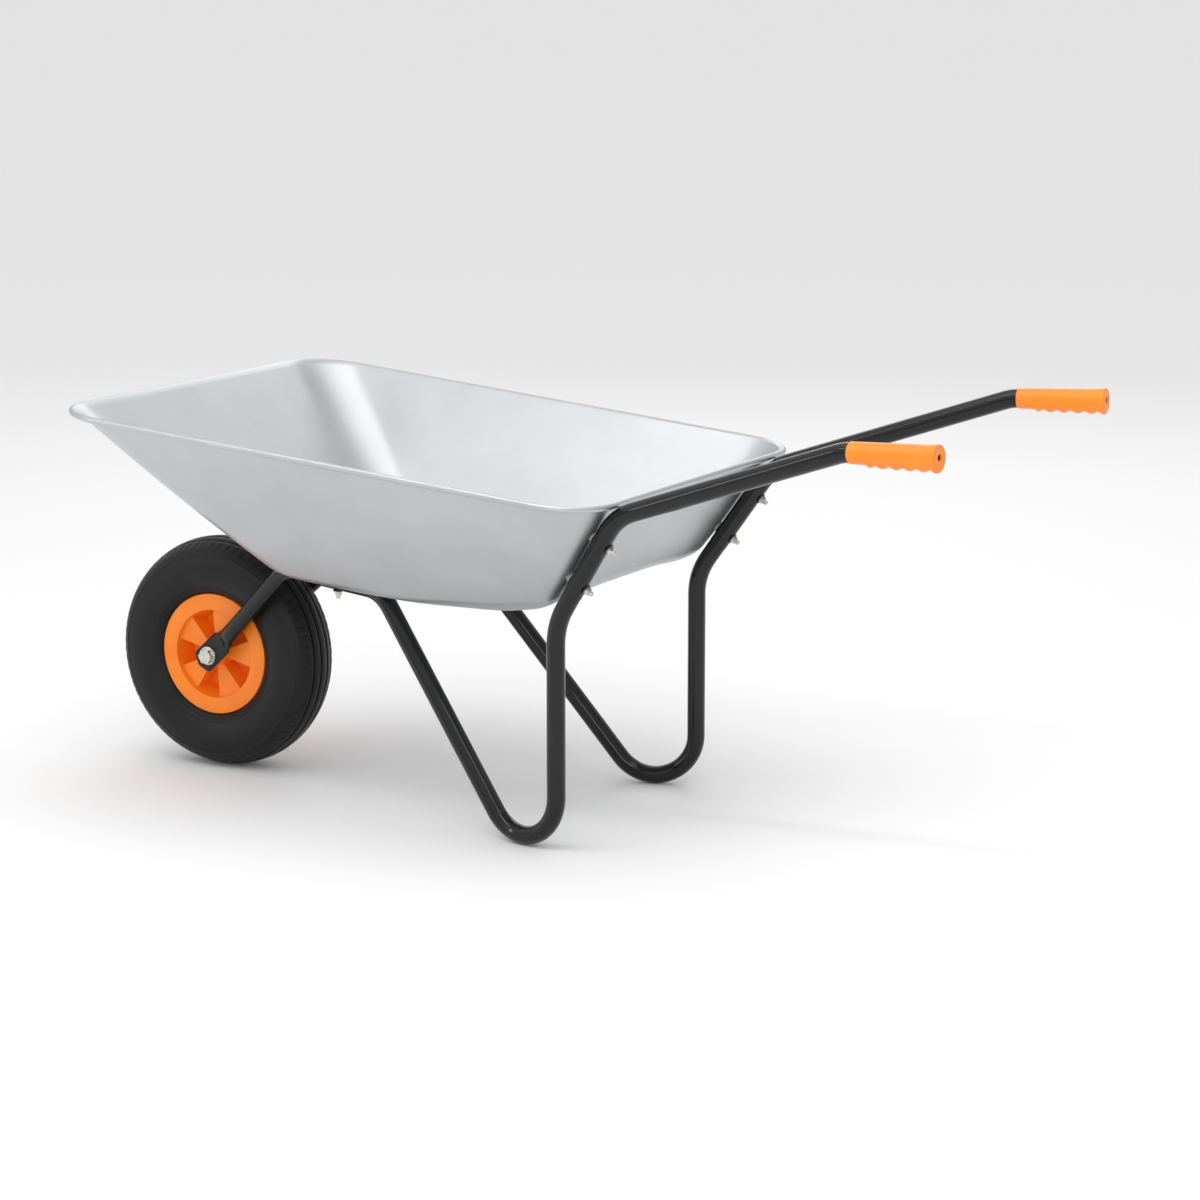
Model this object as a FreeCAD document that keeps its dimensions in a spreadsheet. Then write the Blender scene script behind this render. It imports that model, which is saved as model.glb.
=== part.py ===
"""A single-wheel garden wheelbarrow, as a parametric FreeCAD document.

Millimetres. +X runs from the wheel to the grips, +Z is up and the floor is Z = 0.
The origin lies on the floor, midway along the overall length and on the mid-plane.
Left is the -Y side. Every named size is a cell of the sheet "Sizes".
"""
import FreeCAD
import Part
import Sketcher
import os
from math import asin, atan2, cos, hypot, pi, radians, sin, sqrt, tan
from FreeCAD import Placement, Rotation, Vector

LEFT = -1
RIGHT = 1
ALONG = Vector(1, 0, 0)
ACROSS = Vector(0, 1, 0)
UP = Vector(0, 0, 1)

SIZES = {
    # overall
    "overall_length": 1380.0,        # front of the tyre to the end of the grips
    # tyre and inner tube
    "tyre_radius": 165.0,
    "tyre_width": 95.0,
    "tyre_shoulder_width": 76.0,
    "tyre_shoulder_drop": 13.0,      # crown radius less shoulder radius
    "tyre_side_radius": 52.5,
    "tyre_side_wall": 6.0,
    "tyre_crown_wall": 9.0,
    "tyre_bead_width": 9.0,
    "tube_ring_radius": 117.0,       # middle of the inner tube's section
    "inner_tube_slack": 0.5,         # radius over half the rim's width
    "inner_tube_wall": 2.0,
    # rim
    "rim_radius": 86.6,
    "rim_width": 71.0,
    "rim_flange": 4.0,
    "rim_wall": 3.0,
    "rim_seat_radius": 76.0,
    "rim_seat_width": 13.0,
    "rim_well_radius": 67.0,
    "rim_well_width": 29.0,
    "rim_opening_radius": 63.5,
    "spoke_height": 28.5,
    "spoke_angle": 37.0,
    "spoke_turn": 3.5,               # the middle of the first spoke, up from +X
    "hub_radius": 18.5,
    "hub_play": 1.0,                 # sleeve length left over between the washers
    "hub_clearance": 1.5,            # bore over the axle sleeve, per side
    # axle
    "axle_diameter": 12.0,
    "axle_head_across_flats": 19.0,
    "axle_head_height": 7.5,
    "axle_nut_height": 6.0,
    "axle_end": 1.5,                 # thread standing out of the nut
    "axle_washer_radius": 13.0,
    "axle_washer_thickness": 2.5,
    "axle_sleeve_diameter": 16.0,
    "fork_tuck": 29.5,               # sleeve shorter than tyre and pipe side by side
    "bush_wall": 3.0,
    "bush_length": 18.0,
    "bush_flange_radius": 14.5,
    "bush_flange_thickness": 2.0,
    "thrust_washer_thickness": 2.0,
    # valve
    "valve_offset": 13.0,            # from the wheel's mid-plane
    "valve_radius": 3.6,
    "valve_tip": 38.0,               # wheel centre to the bottom of the cap
    "valve_cap_radius": 4.8,
    "valve_cap_length": 12.0,
    # tray
    "tray_front_width": 657.0,
    "tray_rear_width": 637.6,
    "tray_overhang": 60.2,           # rim in front of the axle
    "rim_front_height": 549.0,
    "rim_fall_angle": 5.2,
    "floor_start": 188.0,            # axle to the foot of the front slope
    "floor_fall_angle": 2.4,
    "floor_kink_share": 0.30072,     # axle to where the floor rises, of the length
    "floor_rise_angle": 4.0,
    "floor_front_share": 0.5236,     # floor width at the front, of the rim's
    "sheet": 1.0,
    "tray_flange": 7.5,              # wall to the outside of the rolled rim
    "rim_corner_radius": 80.0,
    "front_corner_radius": 106.0,    # at the rim
    "front_corner_foot": 62.0,       # the same corner at the floor
    "rear_corner_radius": 86.0,
    "rear_corner_foot": 8.0,
    "front_foot_radius": 100.0,
    "rear_foot_radius": 62.0,
    "side_foot_radius": 42.0,
    "rim_wire_diameter": 6.0,
    # bent tubes
    "pipe_diameter": 24.5,
    "pipe_wall": 1.5,
    "fork_angle": 42.85,
    "spade_width": 36.0,
    "spade_thickness": 3.2,
    "spade_length": 35.0,            # axle to the crease
    "spade_taper": 39.0,             # crease to the full round
    "fork_bend": 156.5,              # axle to the bend between fork and floor run
    "fork_bend_radius": 70.0,
    "knee_bend_share": 0.24587,      # axle to the bend into the brace, of the length
    "knee_bend_radius": 55.0,
    "foot_bend_radius": 61.0,
    "leg_position_share": 0.47159,   # axle to the upright leg, of the length
    "leg_spacing": 396.0,
    "ankle_height": 302.2,           # bend at the top of the upright leg
    "ankle_bend_radius": 90.0,
    "rear_wall_angle": 56.3,
    "seam_distance": 52.3,           # ankle bend to the lower end of the handle tube
    "neck_length": 4.0,
    "plug_length": 60.0,
    "elbow_distance": 185.3,         # ankle bend to the elbow behind the rim
    "elbow_bend_radius": 80.0,
    "wrist_bend_radius": 60.0,
    # grips
    "grip_length": 120.0,
    "grip_wall": 1.35,               # plastic over the tube at the thin end
    "grip_flare": 2.4,               # how much the radius grows towards the palm
    "grip_cap": 3.0,
    "grip_vent_radius": 4.5,
    "grip_height": 572.4,
    "grip_spacing": 549.0,
    "grip_lift_angle": 2.0,
    "grip_splay_angle": 4.9,
    "finger_pitch": 18.5,
    "finger_depth": 3.4,
    "finger_drop": 3.0,
    # tray bolts
    "bolt_diameter": 6.0,
    "bolt_head_radius": 7.5,
    "bolt_head_height": 3.3,
    "bolt_head_edge": 0.7,
    "bolt_end": 5.5,                 # thread standing out of the nut
    "bolt_nut_across_flats": 10.0,
    "bolt_nut_height": 5.0,
    "bolt_washer_radius": 7.5,
    "bolt_washer_thickness": 1.2,
    "lower_bolt_distance": 71.6,     # ankle bend to the lower bolt
    "upper_bolt_distance": 141.0,
    "floor_bolt_position_share": 0.18645,
    # clearances
    "wall_gap": 1.5,                 # rear wall to handle tube, filled by the spacers
    "seat_gap": 0.1,                 # floor to tube
    "plug_gap": 0.1,
    "running_gap": 0.05,             # bush bore over the sleeve, per side
    "fixed_gap": 0.02,               # parts that are pressed or clamped, per side
    "bolt_gap": 0.3,                 # hole over a bolt, per side
    "tyre_gap": 0.2,
    "wire_gap": 0.1,
}

doc = FreeCAD.newDocument("wheelbarrow")


class Size:
    """A number from the sheet together with the expression that gives it."""

    def __init__(self, value, text):
        self.value = float(value)
        self.text = text

    def join(self, other, sign, result):
        return Size(result, "(%s %s %s)" % (self.text, sign, other.text))

    def __add__(self, other):
        other = as_size(other)
        return self.join(other, "+", self.value + other.value)

    def __sub__(self, other):
        other = as_size(other)
        return self.join(other, "-", self.value - other.value)

    def __mul__(self, other):
        other = as_size(other)
        return self.join(other, "*", self.value * other.value)

    def __truediv__(self, other):
        other = as_size(other)
        return self.join(other, "/", self.value / other.value)

    def __neg__(self):
        return Size(-self.value, "(-%s)" % self.text)

    def __float__(self):
        return self.value


def as_size(number):
    if isinstance(number, Size):
        return number
    return Size(number, repr(float(number)))


def fill_sheet():
    """Write every size to the spreadsheet and read it back as a Size."""
    sheet = doc.addObject("Spreadsheet::Sheet", "Sizes")
    for row, (name, number) in enumerate(SIZES.items(), start=1):
        sheet.set("A%d" % row, name)
        sheet.set("B%d" % row, str(number))
        sheet.setAlias("B%d" % row, name)
    doc.recompute()
    return {name: Size(sheet.get(name), "Sizes." + name) for name in SIZES}


def add_followers():
    """Sizes that follow from others."""
    for name in ("floor_kink", "knee_bend", "leg_position", "floor_bolt_position"):
        size[name] = size["overall_length"] * size[name + "_share"]
    size["floor_front_width"] = size["tray_front_width"] * size["floor_front_share"]
    size["inner_tube_radius"] = size["rim_width"] / 2 + size["inner_tube_slack"]
    size["axle_sleeve_length"] = size["tyre_width"] + size["pipe_diameter"] - size["fork_tuck"]
    ends = (size["bush_flange_thickness"] + size["thrust_washer_thickness"]) * 2
    size["hub_length"] = size["axle_sleeve_length"] - ends - size["hub_play"]


size = fill_sheet()
add_followers()
mm = {name: number.value for name, number in size.items()}
AXLE_X = size["tyre_radius"] - size["overall_length"] / 2
AXLE_Z = size["tyre_radius"]


def place(x, y, z):
    """A point whose x is counted from the axle and whose z is the height above the floor."""
    return Vector(AXLE_X.value + x, y, z)


def bind(thing, **properties):
    for name, number in properties.items():
        thing.setExpression(name, as_size(number).text)
    return thing


def seat(thing, turn, where):
    thing.Placement = Placement(where, turn)
    return thing


def turn_to(direction):
    """The rotation that takes a piece built along +Z to the given direction."""
    return Rotation(UP, direction)


# ---------------------------------------------------------------- parametric pieces

def cylinder(name, radius, height, base=None, sweep=None, start=None):
    rod = doc.addObject("Part::Cylinder", name)
    bind(rod, Radius=radius, Height=height)
    if base is not None:
        rod.setExpression("Placement.Base.z", as_size(base).text)
    if sweep is not None:
        bind(rod, Angle=sweep)
        rod.setExpression("Placement.Rotation.Angle", as_size(start).text)
    return rod


def hexagon(name, across_flats, height, base=None):
    prism = doc.addObject("Part::Prism", name)
    prism.Polygon = 6
    bind(prism, Circumradius=across_flats / sqrt(3), Height=height)
    if base is not None:
        prism.setExpression("Placement.Base.z", as_size(base).text)
    return prism


def cut(name, body, tool):
    result = doc.addObject("Part::Cut", name)
    result.Base = body
    result.Tool = tool
    return result


def fuse(name, pieces):
    result = doc.addObject("Part::MultiFuse", name)
    result.Shapes = pieces
    result.Refine = False
    return result


def group(name, pieces):
    result = doc.addObject("Part::Compound", name)
    result.Links = pieces
    return result


def mirror(name, piece):
    result = doc.addObject("Part::Mirroring", name)
    result.Source = piece
    result.Normal = ACROSS
    return result


def ring(name, outer_radius, inner_radius, height, base=None):
    """A washer, sleeve or spacer along +Z."""
    body = cylinder(name + "_outside", outer_radius, height, base)
    bore = cylinder(name + "_bore", inner_radius, height, base)
    return cut(name, body, bore)


def shape_node(name, shape):
    """A piece whose form neither a sketch nor a primitive gives."""
    feature = doc.addObject("Part::Feature", name)
    feature.Shape = shape.removeSplitter()
    return feature


def arc_centre(start, end, radius, side):
    """The centre of an arc from start to end that bulges to its left (1) or right (-1)."""
    along = end - start
    half = along.Length / 2
    normal = Vector(-along.y, along.x, 0).normalize()
    rise = sqrt(max(radius * radius - half * half, 0.0))
    return (start + end) * 0.5 - normal * (side * rise)


def bind_corner(sketch, row, edge, point, spot):
    """Tie one end of a sketch edge to a corner's two sizes."""
    for kind, axis, number in (("DistanceX", -2, point[0]), ("DistanceY", -1, point[1])):
        if number.value == 0:
            sketch.addConstraint(Sketcher.Constraint("PointOnObject", edge, spot, axis))
            continue
        index = sketch.addConstraint(Sketcher.Constraint(kind, -1, 1, edge, spot, number.value))
        sketch.renameConstraint(index, "%s%d" % (kind, row))
        sketch.setExpression("Constraints.%s%d" % (kind, row), number.text)


def revolved(name, corners, arcs=None):
    """A solid of revolution about Y. Corners are (radius, y); arcs give {edge: (radius, side)}."""
    arcs = arcs or {}
    body = doc.addObject("PartDesign::Body", name)
    sketch = body.newObject("Sketcher::SketchObject", name + "_section")
    plane = [item for item in body.Origin.OriginFeatures if item.Role == "XY_Plane"][0]
    sketch.AttachmentSupport = [(plane, "")]
    sketch.MapMode = "FlatFace"
    corners = [(as_size(x), as_size(y)) for x, y in corners]
    points = [Vector(x.value, y.value, 0) for x, y in corners]
    count = len(points)
    flipped = set()
    for index in range(count):
        start = points[index]
        end = points[(index + 1) % count]
        if index not in arcs:
            sketch.addGeometry(Part.LineSegment(start, end), False)
            continue
        radius, side = arcs[index]
        middle = arc_centre(start, end, radius.value, side)
        first, last = start - middle, end - middle
        circle = Part.Circle(middle, UP, radius.value)
        if side > 0:
            flipped.add(index)
            first, last = last, first
        sketch.addGeometry(Part.ArcOfCircle(circle, atan2(first.y, first.x), atan2(last.y, last.x)), False)
        edge = sketch.GeometryCount - 1
        row = sketch.addConstraint(Sketcher.Constraint("Radius", edge, radius.value))
        sketch.renameConstraint(row, "Arc%d" % edge)
        sketch.setExpression("Constraints.Arc%d" % edge, radius.text)
    for index in range(count):
        following = (index + 1) % count
        end_spot = 1 if index in flipped else 2
        start_spot = 2 if following in flipped else 1
        sketch.addConstraint(Sketcher.Constraint("Coincident", index, end_spot, following, start_spot))
    for index, point in enumerate(corners):
        bind_corner(sketch, index, index, point, 2 if index in flipped else 1)
    doc.recompute()
    turned = body.newObject("PartDesign::Revolution", name + "_turned")
    turned.Profile = sketch
    turned.ReferenceAxis = (sketch, ["V_Axis"])
    turned.Angle = 360
    body.Tip = turned
    return body


# ---------------------------------------------------------------- bent tubes

def tangent_length(before, corner, after, radius):
    turn = (corner - before).getAngle(after - corner)
    return radius * tan(turn / 2)


def bent_path(points, radii):
    """A wire of straight runs joined by tangent arcs, one radius for each inner point."""
    edges = []
    start = points[0]
    for before, corner, after, radius in zip(points, points[1:], points[2:], radii):
        reach = tangent_length(before, corner, after, radius)
        inward = (before - corner).normalize()
        outward = (after - corner).normalize()
        entry = corner + inward * reach
        leave = corner + outward * reach
        bisector = (inward + outward).normalize()
        depth = hypot(radius, reach) - radius
        edges.append(Part.LineSegment(start, entry).toShape())
        edges.append(Part.Arc(entry, corner + bisector * depth, leave).toShape())
        start = leave
    edges.append(Part.LineSegment(start, points[-1]).toShape())
    return Part.Wire(edges)


def rod_along(path, radius):
    start = path.Edges[0]
    first = start.valueAt(start.FirstParameter)
    heading = start.tangentAt(start.FirstParameter)
    circle = Part.Wire(Part.Circle(first, heading, radius).toShape())
    return path.makePipeShell([circle], True, True)


def drill(where, axis, radius, reach):
    return Part.makeCylinder(radius, 2 * reach, where - axis * reach, axis)


# ---------------------------------------------------------------- frame geometry

pipe_radius = mm["pipe_diameter"] / 2
fork_angle = radians(mm["fork_angle"])
wall_angle = radians(mm["rear_wall_angle"])
floor_fall = tan(radians(mm["floor_fall_angle"]))
spade_y = (mm["axle_sleeve_length"] + mm["spade_thickness"]) / 2
crease_x = mm["spade_length"] * cos(fork_angle)
crease_z = AXLE_Z.value + mm["spade_length"] * sin(fork_angle)
spread = (mm["leg_spacing"] / 2 - spade_y) / (mm["leg_position"] - crease_x)
stretch = hypot(1, spread)


def in_frame(x, z):
    """A point of the left frame tube's upright plane."""
    return place(x, -spade_y - spread * (x - crease_x), z)


def fork_corner():
    return in_frame(mm["fork_bend"], crease_z + (mm["fork_bend"] - crease_x) * tan(fork_angle))


def knee_corner():
    fork = fork_corner()
    return in_frame(mm["knee_bend"], fork.z - (mm["knee_bend"] - mm["fork_bend"]) * floor_fall)


def foot_corner():
    """Where the brace and the upright leg would meet without the bend that forms the foot."""
    knee = knee_corner()
    radius = mm["foot_bend_radius"]
    away = (mm["leg_position"] - mm["knee_bend"]) * stretch
    centre_drop = knee.z - pipe_radius - radius
    centre_away = away - radius
    slope = atan2(centre_drop, centre_away) + asin(radius / hypot(centre_away, centre_drop))
    return in_frame(mm["leg_position"], knee.z - away * tan(slope))


ankle = in_frame(mm["leg_position"], mm["ankle_height"])
neck_run = Vector(1, -spread, tan(wall_angle)).normalize()
wall_run = Vector(cos(wall_angle), 0, sin(wall_angle))
wall_out = Vector(sin(wall_angle), 0, -cos(wall_angle))
grip_lift = radians(mm["grip_lift_angle"])
grip_splay = radians(mm["grip_splay_angle"])
grip_run = Vector(1, -tan(grip_splay), tan(grip_lift)).normalize()


def grip_end():
    """The middle of the grip's end face, set so that its rim reaches the overall length."""
    radius = pipe_radius + mm["grip_wall"] + mm["grip_flare"]
    back = radius * sqrt(1 - grip_run.x ** 2)
    return Vector(mm["overall_length"] / 2 - back, -mm["grip_spacing"] / 2, mm["grip_height"])


def handle_points():
    seam = ankle + neck_run * mm["seam_distance"]
    elbow = ankle + neck_run * mm["elbow_distance"]
    end = grip_end()
    reach = mm["grip_length"] + 0.5
    wrist = end - grip_run * reach
    for _ in range(5):
        turn = grip_run.getAngle(wrist - elbow)
        wrist = end - grip_run * (reach + mm["wrist_bend_radius"] * tan(turn / 2))
    return [seam, elbow, wrist, end - grip_run * (mm["grip_cap"] + mm["fixed_gap"])]


def bolt_centre(distance):
    """The point of the left handle tube's axis that a rear bolt crosses."""
    return ankle + neck_run * distance


floor_bolt_x = mm["floor_bolt_position"]
floor_run = Vector(1, 0, -floor_fall).normalize()
floor_down = Vector(-floor_fall, 0, -1).normalize()
floor_bolt_centre = in_frame(floor_bolt_x, fork_corner().z - (floor_bolt_x - mm["fork_bend"]) * floor_fall)

# ---------------------------------------------------------------- tray geometry

rim_fall = radians(mm["rim_fall_angle"])
rim_run = Vector(cos(rim_fall), 0, -sin(rim_fall))
rim_up = Vector(sin(rim_fall), 0, cos(rim_fall))
rim_front = place(-mm["tray_overhang"], 0, mm["rim_front_height"])
bead_radius = mm["rim_wire_diameter"] / 2 + mm["wire_gap"] + mm["sheet"]


def crossing(start, heading, other, other_heading):
    """Where two lines in the XZ plane meet."""
    away = other - start
    twist = heading.x * other_heading.z - heading.z * other_heading.x
    reach = (away.x * other_heading.z - away.z * other_heading.x) / twist
    return start + heading * reach


def tray_profile():
    """The outside of the sheet at mid-width: front rim, foot, kink, rear foot, rear rim."""
    front_top = rim_front + rim_run * mm["tray_flange"]
    lift = (pipe_radius + mm["seat_gap"]) * -1
    seat_line = fork_corner() + floor_down * lift
    foot_x = AXLE_X.value + mm["floor_start"]
    kink_x = AXLE_X.value + mm["floor_kink"]
    foot = Vector(foot_x, 0, seat_line.z - (foot_x - seat_line.x) * floor_fall)
    kink = Vector(kink_x, 0, seat_line.z - (kink_x - seat_line.x) * floor_fall)
    rise = radians(mm["floor_rise_angle"])
    wall_line = ankle - wall_out * (pipe_radius + mm["wall_gap"])
    wall_line.y = 0
    rear_foot = crossing(kink, Vector(cos(rise), 0, sin(rise)), wall_line, wall_run)
    rear_top = crossing(rim_front, rim_run, wall_line, wall_run)
    return [front_top, foot, kink, rear_foot, rear_top]


profile = tray_profile()
rim_rear = profile[4] + rim_run * mm["tray_flange"]


def plane_through(first, second, third, inside, inset):
    """A plane as its outward unit normal and distance, moved inwards by the inset."""
    normal = (second - first).cross(third - first).normalize()
    if normal.dot(inside - first) > 0:
        normal = normal * -1
    return normal, normal.dot(first) - inset


def meet(first, second, third):
    """The point that three planes share."""
    a, b, c = first[0], second[0], third[0]
    total = b.cross(c) * first[1] + c.cross(a) * second[1] + a.cross(b) * third[1]
    return total * (1 / a.dot(b.cross(c)))


def side_plane(side, inside, inset):
    front = rim_front + ACROSS * (side * (mm["tray_front_width"] / 2 - mm["tray_flange"]))
    rear = rim_rear + ACROSS * (side * (mm["tray_rear_width"] / 2 - mm["tray_flange"]))
    foot = profile[1] + ACROSS * (side * mm["floor_front_width"] / 2)
    return plane_through(front, rear, foot, inside, inset)


def tray_corners(inset, lift):
    """The corners of the tray's block on each side, from the front rim round to the rear rim."""
    inside = (profile[0] + profile[2] + profile[4]) * (1 / 3)
    bends = [plane_through(a, b, a + ACROSS, inside, inset) for a, b in zip(profile, profile[1:])]
    top = (rim_up, rim_up.dot(rim_front) + lift)
    loop = [top] + bends + [top]
    walls = [side_plane(side, inside, inset) for side in (LEFT, RIGHT)]
    return [[meet(wall, a, b) for a, b in zip(loop, loop[1:])] for wall in walls]


def tray_block(corners):
    """A closed block with flat faces through the corners."""
    left, right = corners
    wires = [Part.makePolygon(row + row[:1]) for row in corners]
    for index in range(len(left)):
        after = (index + 1) % len(left)
        wires.append(Part.makePolygon([left[index], left[after], right[after], right[index], left[index]]))
    shell = Part.makeShell([Part.Face(wire) for wire in wires])
    shell.sewShape()
    block = Part.Solid(shell)
    block.fix(1e-6, 1e-6, 1e-6)
    return block


def edge_number(block, start, end):
    middle = (start + end) * 0.5
    gaps = [(edge.CenterOfMass - middle).Length for edge in block.Edges]
    return gaps.index(min(gaps)) + 1


def rounded_block(name, inset, lift):
    """The tray's block with its upright corners, feet and floor edges rounded."""
    left, right = corners = tray_corners(inset, lift)
    block = doc.addObject("Part::Feature", name + "_block")
    block.Shape = tray_block(corners)
    side, front, rear = mm["side_foot_radius"], mm["front_foot_radius"], mm["rear_foot_radius"]
    rounds = [(left[1], right[1], front, front), (left[3], right[3], rear, rear)]
    for row in corners:
        rounds.append((row[1], row[2], side, side))
        rounds.append((row[2], row[3], side, side))
    for row, rim_row in zip(corners, tray_corners(0, 0)):
        for foot, top, place_name in ((1, 0, "front"), (3, 4, "rear")):
            length = (rim_row[top] - rim_row[foot]).Length
            share = (row[top] - row[foot]).Length / length
            low = mm[place_name + "_corner_foot"]
            high = low + (mm[place_name + "_corner_radius"] - low) * share
            rounds.append((row[foot], row[top], low, high))
    rounded = doc.addObject("Part::Fillet", name)
    rounded.Base = block
    rounded.Edges = [rounding(block.Shape, inset, *item) for item in rounds]
    return rounded


def rounding(block, inset, start, end, start_radius, end_radius):
    """An edge's number with the radius at each of its own ends."""
    number = edge_number(block, start, end)
    edge = block.Edges[number - 1]
    first = edge.valueAt(edge.FirstParameter)
    if (first - start).Length > (first - end).Length:
        start_radius, end_radius = end_radius, start_radius
    return number, start_radius - inset, end_radius - inset


def rim_outline(inset, drop):
    """The rim seen square on: a closed wire with round corners, moved inwards and down."""
    centre = (rim_front + rim_rear) * 0.5 - rim_up * drop
    half_length = (rim_rear - rim_front).Length / 2
    taper = (mm["tray_rear_width"] - mm["tray_front_width"]) / 4 / half_length
    radius = mm["rim_corner_radius"] - inset
    half_width = (mm["tray_front_width"] + mm["tray_rear_width"]) / 4
    side_shift = inset * hypot(1, taper)
    ends = (-half_length + inset, half_length - inset)
    widths = [half_width + taper * end - side_shift for end in ends]
    flat = [(ends[0], -widths[0]), (ends[1], -widths[1]), (ends[1], widths[1]), (ends[0], widths[0])]
    corners = [centre + rim_run * x + ACROSS * y for x, y in flat]
    middle = (corners[0] + corners[3]) * 0.5
    open_path = bent_path([middle] + corners + [middle], [radius] * 4)
    return Part.Wire(open_path.Edges)


def flange_plate():
    outline = rim_outline(bead_radius, mm["sheet"])
    return Part.Face(outline).extrude(rim_up * mm["sheet"])


def rim_rod(radius):
    return rod_along(rim_outline(bead_radius, bead_radius), radius)


def mirrored_drill(centre, axis, radius, reach):
    """A drill on the left together with its mirror image on the right."""
    right = Vector(centre.x, -centre.y, centre.z)
    return Part.makeCompound([drill(spot, axis, radius, reach) for spot in (centre, right)])


rear_centres = [bolt_centre(mm["lower_bolt_distance"]), bolt_centre(mm["upper_bolt_distance"])]
hole_radius = mm["bolt_diameter"] / 2 + mm["bolt_gap"]


def build_tray():
    flange = doc.addObject("Part::Feature", "tray_flange_plate")
    flange.Shape = flange_plate()
    bead = doc.addObject("Part::Feature", "tray_bead")
    bead.Shape = rim_rod(bead_radius)
    tunnel = doc.addObject("Part::Feature", "tray_wire_tunnel")
    tunnel.Shape = rim_rod(mm["rim_wire_diameter"] / 2 + mm["wire_gap"])
    holes = doc.addObject("Part::Feature", "tray_bolt_holes")
    drills = [mirrored_drill(centre, wall_out, hole_radius, 30) for centre in rear_centres]
    drills.append(mirrored_drill(floor_bolt_centre, floor_down, hole_radius, 30))
    holes.Shape = Part.makeCompound(drills)
    outside = fuse("tray_outside", [rounded_block("tray_outer", 0, 0), flange, bead])
    shell = cut("tray_shell", outside, rounded_block("tray_inner", mm["sheet"], 25))
    drilled = cut("tray_drilled", shell, holes)
    return cut("tray", drilled, tunnel)


# ---------------------------------------------------------------- frame and handle tubes

def stadium(centre, along, across, half_width, half_thickness):
    """A closed four-edge outline: two straight edges joined by two round ends."""
    straight = half_width - half_thickness
    thin = across.cross(along).normalize() * half_thickness
    wide = across * straight
    bulge = across * half_width
    first, second = centre - wide + thin, centre + wide + thin
    third, fourth = centre + wide - thin, centre - wide - thin
    edges = [
        Part.LineSegment(first, second).toShape(),
        Part.Arc(second, centre + bulge, third).toShape(),
        Part.LineSegment(third, fourth).toShape(),
        Part.Arc(fourth, centre - bulge, first).toShape(),
    ]
    return Part.Wire(edges)


def quarter_circle_wire(centre, along, across, radius):
    """A circle in four arcs that start where the stadium's edges do."""
    thin = across.cross(along).normalize()
    turns = [3 * pi / 4, pi / 4, -pi / 4, -3 * pi / 4]
    arcs = []
    for index, turn in enumerate(turns):
        after = turns[(index + 1) % 4]
        middle = turn - pi / 4
        spots = [centre + (across * cos(a) + thin * sin(a)) * radius for a in (turn, middle, after)]
        arcs.append(Part.Arc(*spots).toShape())
    return Part.Wire(arcs)


def spade(axle):
    """The flattened end of a frame tube, with its bolt hole."""
    along = Vector(cos(fork_angle), 0, sin(fork_angle))
    across = Vector(-sin(fork_angle), 0, cos(fork_angle))
    half = mm["spade_width"] / 2
    thin = ACROSS * (mm["spade_thickness"] / 2)
    nose = axle - thin
    far = nose + along * mm["spade_length"]
    edges = [
        Part.LineSegment(nose + across * half, far + across * half).toShape(),
        Part.LineSegment(far + across * half, far - across * half).toShape(),
        Part.LineSegment(far - across * half, nose - across * half).toShape(),
        Part.Arc(nose - across * half, nose - along * half, nose + across * half).toShape(),
    ]
    plate = Part.Face(Part.Wire(edges)).extrude(thin * 2)
    return plate.cut(drill(axle, ACROSS, mm["axle_diameter"] / 2 + mm["bolt_gap"], 10))


def frame_tube():
    """The left frame tube: spade, fork, run under the floor, brace, foot, leg and plug."""
    crease = in_frame(crease_x, crease_z)
    fork_run = (fork_corner() - crease).normalize()
    round_start = crease + fork_run * mm["spade_taper"]
    seam = ankle + neck_run * mm["seam_distance"]
    corners = [fork_corner(), knee_corner(), foot_corner(), ankle]
    radii = [mm["fork_bend_radius"], mm["knee_bend_radius"], mm["foot_bend_radius"], mm["ankle_bend_radius"]]
    neck_start = seam - neck_run * mm["neck_length"]
    pipe = rod_along(bent_path([round_start] + corners + [neck_start], radii), pipe_radius)
    plug_radius = pipe_radius - mm["pipe_wall"] - mm["plug_gap"]
    neck = Part.makeCone(pipe_radius, plug_radius, mm["neck_length"], neck_start, neck_run)
    plug = Part.makeCylinder(plug_radius, mm["plug_length"], seam, neck_run)
    along = Vector(cos(fork_angle), 0, sin(fork_angle))
    across = Vector(-sin(fork_angle), 0, cos(fork_angle))
    flat = stadium(crease, along, across, mm["spade_width"] / 2, mm["spade_thickness"] / 2)
    full = quarter_circle_wire(round_start, fork_run, across_of(fork_run), pipe_radius)
    taper = Part.makeLoft([flat, full], True, False)
    solid = pipe.fuse([neck, plug, taper, spade(place(0, -spade_y, AXLE_Z.value))])
    bore_end = neck_start - neck_run * 2
    bore = rod_along(bent_path([round_start] + corners + [bore_end], radii), pipe_radius - mm["pipe_wall"])
    narrow = plug_radius - mm["pipe_wall"]
    reducer = Part.makeCone(pipe_radius - mm["pipe_wall"], narrow, 2, bore_end, neck_run)
    plug_bore = Part.makeCylinder(narrow, mm["plug_length"] + 10, neck_start, neck_run)
    hollow = solid.cut(bore.fuse([reducer, plug_bore]))
    hollow = hollow.cut(drill(rear_centres[0], wall_out, hole_radius, 20))
    return hollow.cut(drill(floor_bolt_centre, floor_down, hole_radius, 20))


def across_of(run):
    """The upright direction square to a run."""
    side = run.cross(UP).normalize()
    return side.cross(run).normalize()


def handle_tube():
    """The left handle tube, from the seam behind the tray to the inside of the grip."""
    points = handle_points()
    radii = [mm["elbow_bend_radius"], mm["wrist_bend_radius"]]
    path = bent_path(points, radii)
    solid = rod_along(path, pipe_radius).cut(rod_along(path, pipe_radius - mm["pipe_wall"]))
    for centre in rear_centres:
        solid = solid.cut(drill(centre, wall_out, hole_radius, 20))
    return solid


# ---------------------------------------------------------------- the pieces

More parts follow.
